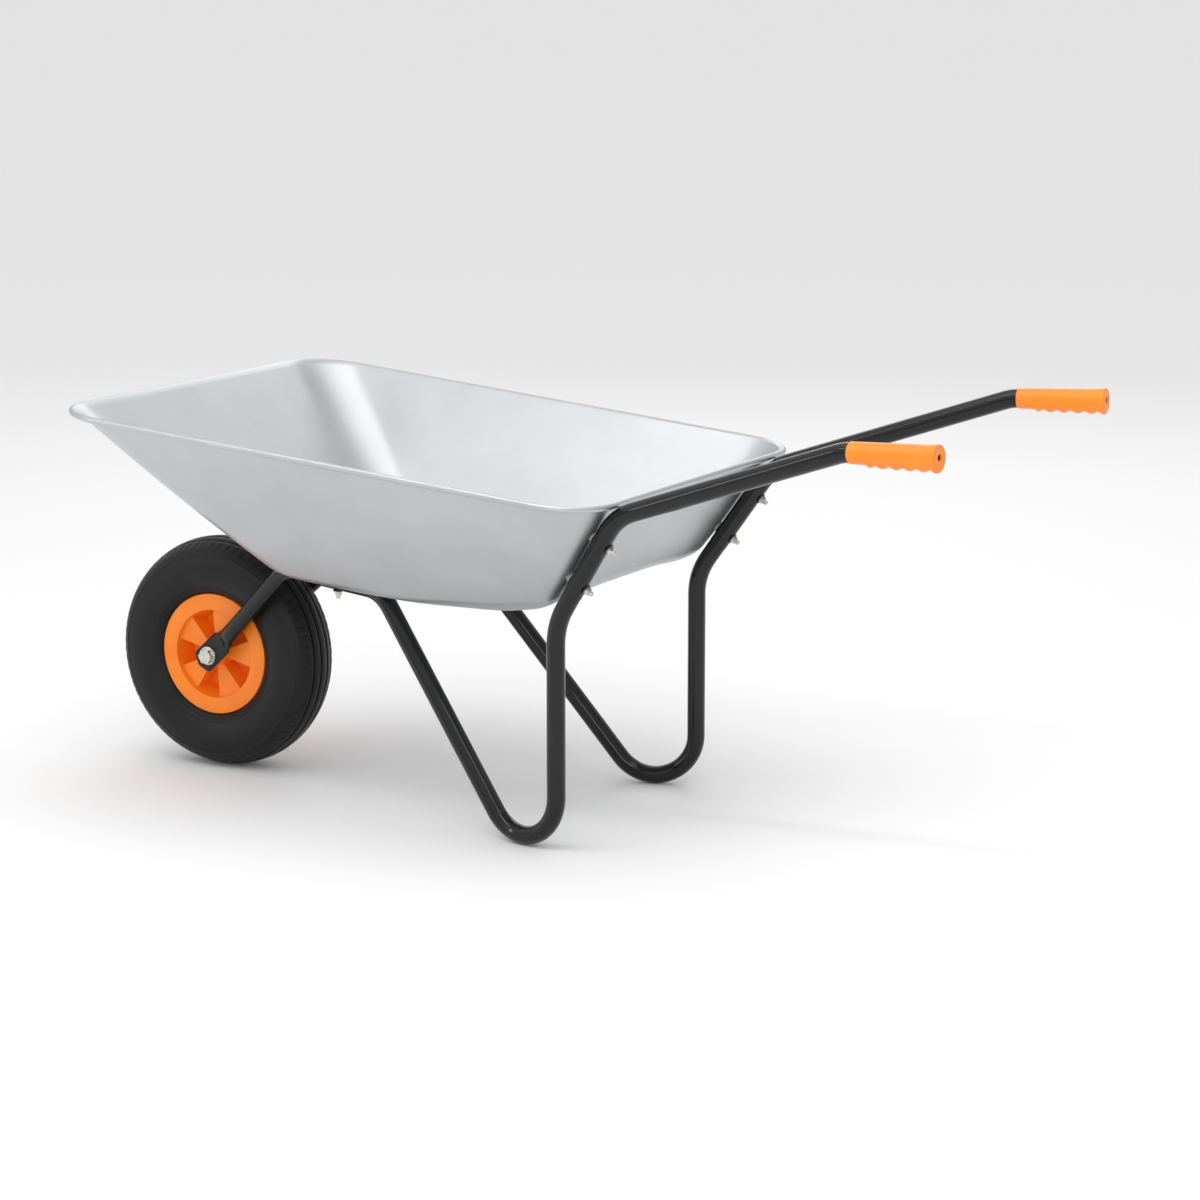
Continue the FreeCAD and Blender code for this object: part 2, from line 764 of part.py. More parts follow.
def build_frame():
    shape_node("frame_tube_left", frame_tube())
    mirror("frame_tube_right", doc.frame_tube_left)
    shape_node("handle_tube_left", handle_tube())
    mirror("handle_tube_right", doc.handle_tube_left)


def build_grips():
    length = size["grip_length"]
    start_radius = size["pipe_diameter"] / 2 + size["grip_wall"]
    end_radius = start_radius + size["grip_flare"]
    outline = [
        (0, 0),
        (start_radius, 0),
        (start_radius + 1.2, length * 0.8),
        (end_radius, length - 4),
        (end_radius, length - 1.5),
        (end_radius - 1.5, length),
        (0, length),
    ]
    smooth = revolved("grip_smooth", outline)
    pitch = size["finger_pitch"]
    depth = size["finger_depth"]
    crest = end_radius + 0.4
    first = length - pitch * 5 - 2
    half = pitch / 2
    hollow_radius = (half * half + depth * depth) / (depth * 2)
    crests = [(crest, first + pitch * step) for step in range(6)]
    arcs = {step: (hollow_radius, 1) for step in range(1, 6)}
    fingers = revolved("grip_fingers", [(0, first)] + crests + [(0, first + pitch * 5)], arcs)
    start = grip_end() - grip_run * mm["grip_length"]
    turn = Rotation(ACROSS, grip_run)
    seat(smooth, turn, start)
    seat(fingers, turn, start - UP * mm["finger_drop"])
    bore_radius = size["pipe_diameter"] / 2 + size["fixed_gap"]
    bore = cylinder("grip_bore", bore_radius, length - size["grip_cap"])
    vent = cylinder("grip_vent", size["grip_vent_radius"], length + 5)
    hollow = fuse("grip_hollow", [bore, vent])
    seat(hollow, turn_to(grip_run), start)
    cut("grip_left", fuse("grip_solid", [smooth, fingers]), hollow)
    mirror("grip_right", doc.grip_left)


def place_set(name, make, seats):
    """One node of equal fasteners: each is built on the left and mirrored to the right."""
    pieces = []
    for index, (turn, where) in enumerate(seats, start=1):
        piece = seat(make("%s_piece%d" % (name, index)), turn, where)
        pieces.append(piece)
        pieces.append(mirror("%s_mirror%d" % (name, index), piece))
    return group(name, pieces)


def carriage_bolt(name, length):
    """A domed bolt with the underside of its head at Y = 0 and its thread towards -Y."""
    radius = size["bolt_diameter"] / 2
    head = size["bolt_head_radius"]
    rise = size["bolt_head_height"] - size["bolt_head_edge"]
    dome = (head * head + rise * rise) / (rise * 2)
    outline = [
        (0, size["bolt_head_height"]),
        (head, size["bolt_head_edge"]),
        (head, 0),
        (radius, 0),
        (radius, -(length - 0.7)),
        (radius - 0.7, -length),
        (0, -length),
    ]
    return revolved(name, outline, {0: (dome, 1)})


def washer(name):
    bore = size["bolt_diameter"] / 2 + size["bolt_gap"]
    return ring(name, size["bolt_washer_radius"], bore, size["bolt_washer_thickness"])


def nut(name):
    body = hexagon(name + "_outside", size["bolt_nut_across_flats"], size["bolt_nut_height"])
    bore = cylinder(name + "_bore", size["bolt_diameter"] / 2 + size["fixed_gap"], size["bolt_nut_height"])
    return cut(name, body, bore)


def spacer(name):
    bore = size["bolt_diameter"] / 2 + size["bolt_gap"]
    return ring(name, size["bolt_washer_radius"], bore, size["wall_gap"])


def build_tray_fasteners():
    below = size["pipe_diameter"] + size["bolt_washer_thickness"] + size["bolt_nut_height"] + size["bolt_end"]
    rear_length = below + size["sheet"] + size["wall_gap"]
    floor_length = below + size["sheet"] + size["seat_gap"]
    wall_face = pipe_radius + mm["wall_gap"] + mm["sheet"]
    floor_face = pipe_radius + mm["seat_gap"] + mm["sheet"]
    under = pipe_radius + mm["bolt_washer_thickness"]
    inward = Rotation(ACROSS, wall_out * -1)
    outward = turn_to(wall_out)
    heads = [(inward, centre - wall_out * wall_face) for centre in rear_centres]
    place_set("rear_bolts", lambda name: carriage_bolt(name, rear_length), heads)
    place_set("rear_washers", washer, [(outward, centre + wall_out * pipe_radius) for centre in rear_centres])
    place_set("rear_nuts", nut, [(outward, centre + wall_out * under) for centre in rear_centres])
    gaps = [(turn_to(wall_out * -1), centre - wall_out * pipe_radius) for centre in rear_centres]
    place_set("wall_spacers", spacer, gaps)
    upward = Rotation(ACROSS, floor_down * -1)
    downward = turn_to(floor_down)
    centre = floor_bolt_centre
    head = [(upward, centre - floor_down * floor_face)]
    place_set("floor_bolts", lambda name: carriage_bolt(name, floor_length), head)
    place_set("floor_washers", washer, [(downward, centre + floor_down * pipe_radius)])
    place_set("floor_nuts", nut, [(downward, centre + floor_down * under)])


def on_axle(piece, side=RIGHT):
    """Lay a piece built along +Z on the axle, pointing to the given side."""
    return seat(piece, turn_to(ACROSS * side), place(0, 0, AXLE_Z.value))


def build_axle():
    shank = size["axle_diameter"] / 2
    inner_face = size["axle_sleeve_length"] / 2
    outer_face = inner_face + size["spade_thickness"]
    end_face = outer_face + size["axle_washer_thickness"]
    reach = end_face * 2 + size["axle_nut_height"] + size["axle_end"]
    head = hexagon("axle_head", size["axle_head_across_flats"], size["axle_head_height"], end_face)
    rod = cylinder("axle_rod", shank, reach, end_face - reach)
    on_axle(fuse("axle_bolt", [head, rod]), LEFT)
    body = hexagon("axle_nut_body", size["axle_head_across_flats"], size["axle_nut_height"], end_face)
    hole = cylinder("axle_nut_hole", shank + size["fixed_gap"], size["axle_nut_height"], end_face)
    on_axle(cut("axle_nut", body, hole))
    loose = shank + size["bolt_gap"]
    for name, side in (("axle_washer_a", LEFT), ("axle_washer_b", RIGHT)):
        disc = ring(name, size["axle_washer_radius"], loose, size["axle_washer_thickness"], outer_face)
        on_axle(disc, side)
    group("axle_washers", [doc.axle_washer_a, doc.axle_washer_b])
    sleeve_radius = size["axle_sleeve_diameter"] / 2
    sleeve_bore = shank + size["plug_gap"]
    on_axle(ring("axle_sleeve", sleeve_radius, sleeve_bore, inner_face * 2, -inner_face))
    thrust = size["thrust_washer_thickness"]
    for name, side in (("thrust_washer_a", LEFT), ("thrust_washer_b", RIGHT)):
        snug = sleeve_radius + size["fixed_gap"]
        disc = ring(name, size["bush_flange_radius"], snug, thrust, inner_face - thrust)
        on_axle(disc, side)
    group("thrust_washers", [doc.thrust_washer_a, doc.thrust_washer_b])


def build_bushes():
    bore = size["axle_sleeve_diameter"] / 2 + size["running_gap"]
    outer = bore + size["bush_wall"]
    end = size["hub_length"] / 2
    flange = size["bush_flange_thickness"]
    outline = [
        (bore, end - size["bush_length"]),
        (outer, end - size["bush_length"]),
        (outer, end),
        (size["bush_flange_radius"], end),
        (size["bush_flange_radius"], end + flange),
        (bore, end + flange),
    ]
    seat(revolved("bush_right", outline), Rotation(), place(0, 0, AXLE_Z.value))
    mirror("bush_left", doc.bush_right)


def spoke_turns():
    return [size["spoke_turn"] + 72 * step for step in range(5)]


def sector(name, radius, height, turn, base=None):
    """A slice of a disc as wide as a spoke, its middle turned up from +X."""
    sweep = size["spoke_angle"]
    return cylinder(name, radius, height, base, sweep, turn - sweep / 2)


def build_rim():
    """The right half of the rim, built along +Z from the mid-plane, and its mirror image."""
    face = size["rim_width"] / 2
    seat_end = face - size["rim_flange"]
    seat_start = seat_end - size["rim_seat_width"]
    well = size["rim_well_width"] / 2
    outline = [
        (size["rim_opening_radius"], 0),
        (size["rim_well_radius"], 0),
        (size["rim_well_radius"], well),
        (size["rim_seat_radius"], seat_start),
        (size["rim_seat_radius"], seat_end),
        (size["rim_radius"], seat_end),
        (size["rim_radius"], face),
        (size["rim_opening_radius"], face),
    ]
    barrel = revolved("rim_barrel", outline)
    seat(barrel, Rotation(), place(0, 0, AXLE_Z.value))
    wall = size["rim_wall"]
    reach = size["rim_opening_radius"] + 1
    web = cylinder("rim_web", reach, wall)
    spokes = [sector("rim_spoke%d" % index, reach, size["spoke_height"], turn)
              for index, turn in enumerate(spoke_turns(), start=1)]
    hub = cylinder("rim_hub", size["hub_radius"], size["hub_length"] / 2)
    shift = mm["rim_wall"] / sin(radians(mm["spoke_angle"] / 2))
    pockets = []
    for index, turn in enumerate(spoke_turns(), start=1):
        radius = size["rim_opening_radius"] - wall - shift
        hollow = sector("rim_pocket%d" % index, radius, size["spoke_height"] - wall, turn)
        angle = turn.text
        hollow.setExpression("Placement.Base.x", "%r * cos(%s * 1 deg)" % (shift, angle))
        hollow.setExpression("Placement.Base.y", "%r * sin(%s * 1 deg)" % (shift, angle))
        pockets.append(hollow)
    raised = cut("rim_spokes", fuse("rim_stars", [web] + spokes), fuse("rim_pockets", pockets))
    through_radius = size["axle_sleeve_diameter"] / 2 + size["hub_clearance"]
    through = cylinder("rim_through", through_radius, size["hub_length"])
    bush_hole = size["axle_sleeve_diameter"] / 2 + size["running_gap"] + size["bush_wall"] + size["fixed_gap"]
    recess_start = size["hub_length"] / 2 - size["bush_length"] - 0.2
    recess = cylinder("rim_recess", bush_hole, size["bush_length"] + 5, recess_start)
    middle = cut("rim_middle", fuse("rim_centre", [raised, hub]), fuse("rim_bores", [through, recess]))
    lay = Rotation(ALONG, -90)
    seat(middle, lay, place(0, 0, AXLE_Z.value))
    plain = fuse("rim_plain", [barrel, middle])
    mirror("rim_half_left", plain)
    hole = cylinder("valve_hole", size["valve_radius"] + size["bolt_gap"], size["rim_seat_radius"])
    seat(hole, turn_to(valve_run), valve_seat + valve_run * mm["valve_tip"])
    cut("rim_half_right", plain, hole)


valve_turn = radians(mm["spoke_turn"] - 36)
valve_run = Vector(cos(valve_turn), 0, sin(valve_turn))
valve_seat = place(0, mm["valve_offset"], AXLE_Z.value)


def build_tyre():
    half = size["rim_width"] / 2 - size["rim_flange"] - size["tyre_gap"]
    bead = size["rim_seat_radius"] + size["tyre_gap"]
    lip = size["rim_radius"] + 0.6
    width = size["tyre_shoulder_width"] / 2
    drop = size["tyre_shoulder_drop"]
    shoulder = size["tyre_radius"] - drop
    crown = (width * width + drop * drop) / (drop * 2)
    side = size["tyre_side_radius"]
    wall = size["tyre_side_wall"]
    inner_crown = size["tyre_radius"] - size["tyre_crown_wall"]
    inner_shoulder = inner_crown - drop + 2
    inner_width = width - wall + 2
    inner_rise = drop - 2
    inner_arc = (inner_width * inner_width + inner_rise * inner_rise) / (inner_rise * 2)
    toe = half - size["tyre_bead_width"]
    outline = [
        (bead, toe),
        (bead, half),
        (lip, half),
        (lip + 2.5, half + 4.5),
        (shoulder, width),
        (shoulder, -width),
        (lip + 2.5, -(half + 4.5)),
        (lip, -half),
        (bead, -half),
        (bead, -toe),
        (lip + 3, -(half - 3)),
        (inner_shoulder, -inner_width),
        (inner_shoulder, inner_width),
        (lip + 3, half - 3),
    ]
    arcs = {3: (side, 1), 4: (crown, 1), 5: (side, 1)}
    arcs[10] = (side - wall, -1)
    arcs[11] = (inner_arc, -1)
    arcs[12] = (side - wall, -1)
    centre = place(0, 0, AXLE_Z.value)
    seat(revolved("tyre", outline, arcs), Rotation(), centre)
    outer = doc.addObject("Part::Torus", "inner_tube_outside")
    bind(outer, Radius1=size["tube_ring_radius"], Radius2=size["inner_tube_radius"])
    inner = doc.addObject("Part::Torus", "inner_tube_air")
    hollow = size["inner_tube_radius"] - size["inner_tube_wall"]
    bind(inner, Radius1=size["tube_ring_radius"], Radius2=hollow)
    on_axle(cut("inner_tube", outer, inner))


def build_valve():
    tip = size["valve_tip"]
    rod = cylinder("valve_rod", size["valve_radius"], size["tube_ring_radius"] - tip)
    seat(rod, turn_to(valve_run), valve_seat + valve_run * tip.value)
    foot = doc.addObject("Part::Torus", "valve_foot")
    bind(foot, Radius1=size["tube_ring_radius"], Radius2=size["inner_tube_radius"] + size["fixed_gap"])
    on_axle(foot)
    cut("valve_stem", rod, foot)
    length = size["valve_cap_length"]
    cap = cylinder("valve_cap_body", size["valve_cap_radius"], length, tip - length)
    hollow = cylinder("valve_cap_bore", size["valve_radius"] + size["fixed_gap"], 2.0, tip - 1)
    seat(cut("valve_cap", cap, hollow), turn_to(valve_run), valve_seat)


NODES = [
    "tray", "rim_wire", "frame_tube_left", "frame_tube_right", "handle_tube_left",
    "handle_tube_right", "grip_left", "grip_right", "rear_bolts", "rear_washers", "rear_nuts",
    "wall_spacers", "floor_bolts", "floor_washers", "floor_nuts", "axle_bolt", "axle_nut",
    "axle_washers", "axle_sleeve", "thrust_washers", "rim_half_left", "rim_half_right",
    "bush_left", "bush_right", "tyre", "inner_tube", "valve_stem", "valve_cap",
]


def check_document():
    for thing in doc.Objects:
        if "Invalid" in thing.State or "Error" in thing.State:
            raise RuntimeError("%s is %s" % (thing.Name, thing.State))
        if hasattr(thing, "Shape") and (thing.Shape.isNull() or not thing.Shape.isValid()):
            if thing.TypeId.startswith(("Part::", "PartDesign::")):
                raise RuntimeError("%s has no valid shape" % thing.Name)


def export_nodes():
    os.makedirs("parts", exist_ok=True)
    for name in NODES:
        doc.getObject(name).Shape.exportStep("parts/%s.step" % name)


build_tray()
shape_node("rim_wire", rim_rod(mm["rim_wire_diameter"] / 2))
build_frame()
build_grips()
build_tray_fasteners()
build_axle()
build_bushes()
build_rim()
build_tyre()
build_valve()
doc.recompute()
check_document()
export_nodes()
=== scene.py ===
# %% [markdown]
# # A garden wheelbarrow
# The barrow is a galvanised steel tray bolted to two bent steel tubes. The tubes carry the
# tray, end in two handles with plastic grips, and hold one wheel between their flattened
# front ends. The imported model gives every size and place, so it is loaded first, and its
# box is kept for aiming the camera and placing the grip ends.

# %% Load the frame
from math import asin, atan2, cos, degrees, hypot, pi, radians, sin, sqrt, tan
import bmesh
import bpy
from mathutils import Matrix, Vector


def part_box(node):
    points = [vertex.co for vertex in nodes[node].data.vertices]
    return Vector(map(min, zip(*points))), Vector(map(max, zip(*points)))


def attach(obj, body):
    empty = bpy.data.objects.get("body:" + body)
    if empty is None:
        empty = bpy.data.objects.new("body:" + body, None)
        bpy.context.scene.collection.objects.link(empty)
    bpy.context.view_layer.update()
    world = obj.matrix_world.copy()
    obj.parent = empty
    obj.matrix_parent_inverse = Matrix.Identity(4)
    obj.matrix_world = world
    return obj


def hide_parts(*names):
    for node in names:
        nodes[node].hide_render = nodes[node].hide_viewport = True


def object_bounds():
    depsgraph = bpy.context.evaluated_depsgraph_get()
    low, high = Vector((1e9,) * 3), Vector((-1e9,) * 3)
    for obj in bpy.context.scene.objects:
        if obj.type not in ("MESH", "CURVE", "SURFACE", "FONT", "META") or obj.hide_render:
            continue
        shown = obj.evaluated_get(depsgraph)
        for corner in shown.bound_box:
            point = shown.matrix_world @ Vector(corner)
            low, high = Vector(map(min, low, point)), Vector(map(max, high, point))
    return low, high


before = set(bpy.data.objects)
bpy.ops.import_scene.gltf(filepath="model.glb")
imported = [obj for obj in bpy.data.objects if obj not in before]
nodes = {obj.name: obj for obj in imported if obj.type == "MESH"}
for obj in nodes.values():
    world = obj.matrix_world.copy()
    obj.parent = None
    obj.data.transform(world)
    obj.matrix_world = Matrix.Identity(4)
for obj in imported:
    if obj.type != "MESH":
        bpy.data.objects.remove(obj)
cad_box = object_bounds()
print("CAD box", cad_box)

# %% [markdown]
# ## Where things are
# The floor is z = 0, +X runs from the wheel to the handles and left is -Y. All lengths are
# in metres. The axle is the middle of the tyre's own box, and the two tube runs repeat the
# corner points and bend radii that a tube bender would be given.

# %% Places and sizes
low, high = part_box("tyre")
axle = (Vector(low) + Vector(high)) / 2
wheel_radius = (high[2] - low[2]) / 2


def from_axle(x, y, z):
    """A point in millimetres: x counted from the axle, y from the middle, z from the floor."""
    return Vector((axle.x + x / 1000, y / 1000, z / 1000))


print("axle", axle, "wheel radius", wheel_radius)

# %% [markdown]
# ## Camera
# The camera stands behind the left handle and a little above the tray, as somebody would who
# looks over the barrow from its handles. The floor is plain and pale. One large panel
# overhead and narrow ones round the barrow give the long soft reflections that show the
# shape of polished tubes and of pressed sheet. They are placed at the end, in the studio.

# %% Camera
box_low, box_high = Vector(cad_box[0]), Vector(cad_box[1])
box_middle = (box_low + box_high) / 2
camera_place = from_axle(2822, -4030, 1217)
aim = box_middle + Vector((0.067, 0.027, -0.005))

camera_data = bpy.data.cameras.new("camera")
camera_data.lens = 105
camera_data.sensor_width = 36
camera = bpy.data.objects.new("camera", camera_data)
bpy.context.scene.collection.objects.link(camera)
camera.location = camera_place
camera.rotation_euler = (aim - camera_place).to_track_quat("-Z", "Y").to_euler()
bpy.context.scene.camera = camera
bpy.context.scene.view_settings.view_transform = "Standard"
print("camera", tuple(round(v, 2) for v in camera.location))

# %% [markdown]
# ## Helpers for modelling
# An operator works on whatever is selected, so each piece is picked out alone before it is
# edited, and faces are then picked by where they are. When a piece is done, its place is
# moved into its mesh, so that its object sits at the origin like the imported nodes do.


# %% Pick pieces and faces
def pick_nothing():
    if bpy.context.object and bpy.context.object.mode != "OBJECT":
        bpy.ops.object.mode_set(mode="OBJECT")
    bpy.ops.object.select_all(action="DESELECT")


def pick(piece):
    """Make one piece the only selected one, and the active one."""
    pick_nothing()
    piece.select_set(True)
    bpy.context.view_layer.objects.active = piece


def added(name):
    """Name the primitive that was just added and put its place into its mesh."""
    piece = bpy.context.object
    piece.name = name
    piece.data.name = name
    bpy.ops.object.transform_apply(location=True, rotation=True, scale=True)
    return piece


def edit(piece, mode="VERT"):
    pick(piece)
    bpy.ops.object.mode_set(mode="EDIT")
    bpy.ops.mesh.select_mode(type=mode)
    bpy.ops.mesh.select_all(action="DESELECT")


# %% [markdown]
# Faces, edges and corners are selected by a rule about their place. A modifier is added and
# applied at once, and a finished mesh has its doubled corners merged first, because faces
# can only be turned outwards on a closed skin.


# %% Select by a rule, apply a modifier, clean a mesh
def select_where(piece, kind, rule):
    """In edit mode, select the faces, edges or corners that a rule accepts."""
    bpy.ops.mesh.select_all(action="DESELECT")
    mesh = bmesh.from_edit_mesh(piece.data)
    chosen = [item for item in getattr(mesh, kind) if rule(item)]
    for item in chosen:
        item.select = True
    mesh.select_flush_mode()
    bmesh.update_edit_mesh(piece.data)
    return len(chosen)


def selected_corners(piece):
    mesh = bmesh.from_edit_mesh(piece.data)
    return [corner for corner in mesh.verts if corner.select]


def apply_modifier(piece, kind, **settings):
    pick(piece)
    modifier = piece.modifiers.new(kind.lower(), kind)
    for name, value in settings.items():
        setattr(modifier, name, value)
    bpy.ops.object.modifier_apply(modifier=modifier.name)


def tidy_mesh(piece, distance=0.00002):
    """Merge doubled corners and turn every face outwards."""
    edit(piece)
    bpy.ops.mesh.select_all(action="SELECT")
    bpy.ops.mesh.remove_doubles(threshold=distance)
    bpy.ops.mesh.normals_make_consistent(inside=False)
    bpy.ops.object.mode_set(mode="OBJECT")


def smooth(piece, angle=35):
    pick(piece)
    bpy.ops.object.shade_smooth_by_angle(angle=radians(angle))


# %% [markdown]
# The barrow is the same on both sides, so each piece is modelled once and mirrored. The
# mirror turns the faces inside out, and they are flipped back.


# %% Copy a piece to the other side
def across(piece, name):
    """The same piece on the other side of the barrow, with its own mesh."""
    pick(piece)
    bpy.ops.object.duplicate()
    twin = bpy.context.object
    twin.name = name
    twin.data.name = name
    bpy.ops.transform.resize(value=(1, -1, 1), center_override=(0, 0, 0))
    bpy.ops.object.transform_apply(location=True, rotation=True, scale=True)
    edit(twin)
    bpy.ops.mesh.select_all(action="SELECT")
    bpy.ops.mesh.flip_normals()
    bpy.ops.object.mode_set(mode="OBJECT")
    return twin


# %% [markdown]
# Outlines are drawn as straight lines with rounded corners. Bodies with a changing section
# are extruded ring by ring, and each new ring is laid on its own section.


# %% Rounded corners and ring bodies
def round_corner(before, corner, after, radius, steps):
    """Points of the arc that rounds a corner, made the way a template would draw it."""
    arriving = (corner - before).normalized()
    leaving = (after - corner).normalized()
    turn = arriving.angle(leaving)
    start = corner - arriving * radius * tan(turn / 2)
    end = corner + leaving * radius * tan(turn / 2)
    pull = cos(turn / 2)
    points = []
    for step in range(steps + 1):
        t = step / steps
        shares = ((1 - t) ** 2, 2 * t * (1 - t) * pull, t * t)
        points.append((start * shares[0] + corner * shares[1] + end * shares[2]) / sum(shares))
    return points


def lay_rings(piece, rings):
    """Extrude the selected open ring again and again, and lay each new one on its section."""
    mesh = bmesh.from_edit_mesh(piece.data)
    mesh.verts.ensure_lookup_table()
    for index, place in enumerate(rings[0]):
        mesh.verts[index].co = place
    bmesh.update_edit_mesh(piece.data)
    for before, ring in zip(rings, rings[1:]):
        bpy.ops.mesh.extrude_region_move(TRANSFORM_OT_translate={"value": (0, 0, 0)})
        places = {tuple(round(v, 6) for v in place): new for place, new in zip(before, ring)}
        for corner in selected_corners(piece):
            corner.co = places[tuple(round(v, 6) for v in corner.co)]
        bmesh.update_edit_mesh(piece.data)


def ring_body(name, rings):
    """A body from its sections, started as a circle with as many corners as a section has."""
    pick_nothing()
    bpy.ops.mesh.primitive_circle_add(vertices=len(rings[0]), radius=0.1)
    body = added(name)
    edit(body)
    bpy.ops.mesh.select_all(action="SELECT")
    lay_rings(body, rings)
    bpy.ops.object.mode_set(mode="OBJECT")
    return body


# %% [markdown]
# ## Helpers for materials
# Colours are written as sRGB hex values, and one function turns them to the linear values
# that the shader works in. One small function adds a node with its settings and its links.


# %% Colour and nodes
def colour(code):
    def linear(value):
        return value / 12.92 if value <= 0.04045 else ((value + 0.055) / 1.055) ** 2.4

    return tuple(linear(int(code[i:i + 2], 16) / 255) for i in (1, 3, 5)) + (1.0,)


def node(tree, kind, inputs=(), **settings):
    """Add a node. Inputs pairs a socket with a number, a colour or another node's output."""
    item = tree.nodes.new(kind)
    for name, value in settings.items():
        setattr(item, name, value)
    for socket, value in inputs:
        if isinstance(value, bpy.types.NodeSocket):
            tree.links.new(value, item.inputs[socket])
        else:
            item.inputs[socket].default_value = value
    return item


def new_material(name):
    """A material with its shader, and the object's own coordinates in metres."""
    material = bpy.data.materials.new(name)
    material.use_nodes = True
    tree = material.node_tree
    shader = tree.nodes["Principled BSDF"]
    place = node(tree, "ShaderNodeTexCoord").outputs["Object"]
    return material, tree, shader, place


def blend_colours(tree, factor, first, second):
    ramp = node(tree, "ShaderNodeMix", [("Factor", factor)], data_type="RGBA")
    ramp.inputs[6].default_value = colour(first)
    ramp.inputs[7].default_value = colour(second)
    return ramp.outputs[2]


def spread(tree, value, low_in, high_in, low_out, high_out):
    """Stretch one range of a pattern to another."""
    parts = [("Value", value), ("From Min", low_in), ("From Max", high_in)]
    parts += [("To Min", low_out), ("To Max", high_out)]
    return node(tree, "ShaderNodeMapRange", parts).outputs["Result"]


def noise(tree, place, scale, detail=3.0, roughness=0.5, stretch=None):
    """A soft random pattern; scale is how many lumps there are in a metre."""
    if stretch:
        place = node(tree, "ShaderNodeMapping", [("Vector", place), ("Scale", stretch)]).outputs[0]
    parts = [("Vector", place), ("Scale", scale), ("Detail", detail), ("Roughness", roughness)]
    return node(tree, "ShaderNodeTexNoise", parts).outputs["Fac"]


def bump(tree, height, distance, strength=1.0, before=None):
    parts = [("Height", height), ("Distance", distance), ("Strength", strength)]
    if before is not None:
        parts.append(("Normal", before))
    return node(tree, "ShaderNodeBump", parts).outputs["Normal"]


# %% [markdown]
# ## Hot-dip galvanised sheet
# The tray is deep-drawn from zinc-coated steel. Zinc is a pale grey metal with a satin
# sheen; drawing stretches the coat, so the sheen changes in broad soft clouds, and the sheet
# is never quite flat, so its reflections waver over a hand's breadth. Fine drawing marks run
# down the walls. The two noises are that wide waver and the finer clouding of the coat.

# %% Galvanised sheet
def galvanised_sheet():
    material, tree, shader, place = new_material("galvanised_sheet")
    clouds = noise(tree, place, 9.0, 4.0, 0.55)
    grain = noise(tree, place, 420.0, 2.0, 0.6)
    tone = blend_colours(tree, spread(tree, clouds, 0.3, 0.7, 0, 1), "#BCBEC0", "#C6C8CA")
    tree.links.new(tone, shader.inputs["Base Color"])
    shader.inputs["Metallic"].default_value = 0.92
    patchy = spread(tree, clouds, 0.3, 0.7, 0.35, 0.42)
    tree.links.new(patchy, shader.inputs["Roughness"])
    waver = bump(tree, noise(tree, place, 6.0, 1.0), 0.001, 0.4)
    fine = bump(tree, grain, 0.00003, 0.5, waver)
    tree.links.new(fine, shader.inputs["Normal"])
    return material


# %% [markdown]
# ## Gloss powder coat
# The tubes are powder-coated black. The powder melts to a thick glossy skin with a slight
# orange peel a few millimetres across, and thin bright lines of reflection run along it.

# %% Black powder coat
def black_powder_coat():
    material, tree, shader, place = new_material("black_powder_coat")
    peel = noise(tree, place, 260.0, 1.0)
    dust = noise(tree, place, 35.0, 4.0)
    tone = blend_colours(tree, spread(tree, dust, 0.4, 0.75, 0, 1), "#0C0C0D", "#131314")
    tree.links.new(tone, shader.inputs["Base Color"])
    rough = spread(tree, dust, 0.3, 0.7, 0.13, 0.2)
    tree.links.new(rough, shader.inputs["Roughness"])
    shader.inputs["Specular IOR Level"].default_value = 0.2
    shader.inputs["Coat Weight"].default_value = 0.4
    shader.inputs["Coat Roughness"].default_value = 0.06
    tree.links.new(bump(tree, peel, 0.00008, 0.3), shader.inputs["Normal"])
    return material


# %% [markdown]
# ## Bright zinc plate
# The bolts and nuts are zinc-plated: a bright, slightly yellow metal, duller where a spanner
# or the thread has rubbed it.

# %% Zinc plate
def zinc_plate():
    material, tree, shader, place = new_material("zinc_plate")
    rubbed = noise(tree, place, 320.0, 3.0)
    tone = blend_colours(tree, spread(tree, rubbed, 0.35, 0.7, 0, 1), "#DAD8D0", "#B9B7AE")
    tree.links.new(tone, shader.inputs["Base Color"])
    shader.inputs["Metallic"].default_value = 1.0
    rough = spread(tree, rubbed, 0.3, 0.7, 0.2, 0.42)
    tree.links.new(rough, shader.inputs["Roughness"])
    tree.links.new(bump(tree, rubbed, 0.00004, 0.5), shader.inputs["Normal"])
    return material


# %% [markdown]
# The wire, the sleeve and the washers inside are plain drawn or turned steel, greyer than
# the plated pieces and streaked by oil.


# %% Drawn steel
def drawn_steel():
    """Plain drawn wire and turned steel inside the rim and the hub, with an oily grey skin."""
    material, tree, shader, place = new_material("drawn_steel")
    streaks = noise(tree, place, 180.0, 3.0)
    tone = blend_colours(tree, streaks, "#8C8D90", "#A6A7A9")
    tree.links.new(tone, shader.inputs["Base Color"])
    shader.inputs["Metallic"].default_value = 1.0
    tree.links.new(spread(tree, streaks, 0.3, 0.7, 0.3, 0.5), shader.inputs["Roughness"])
    return material
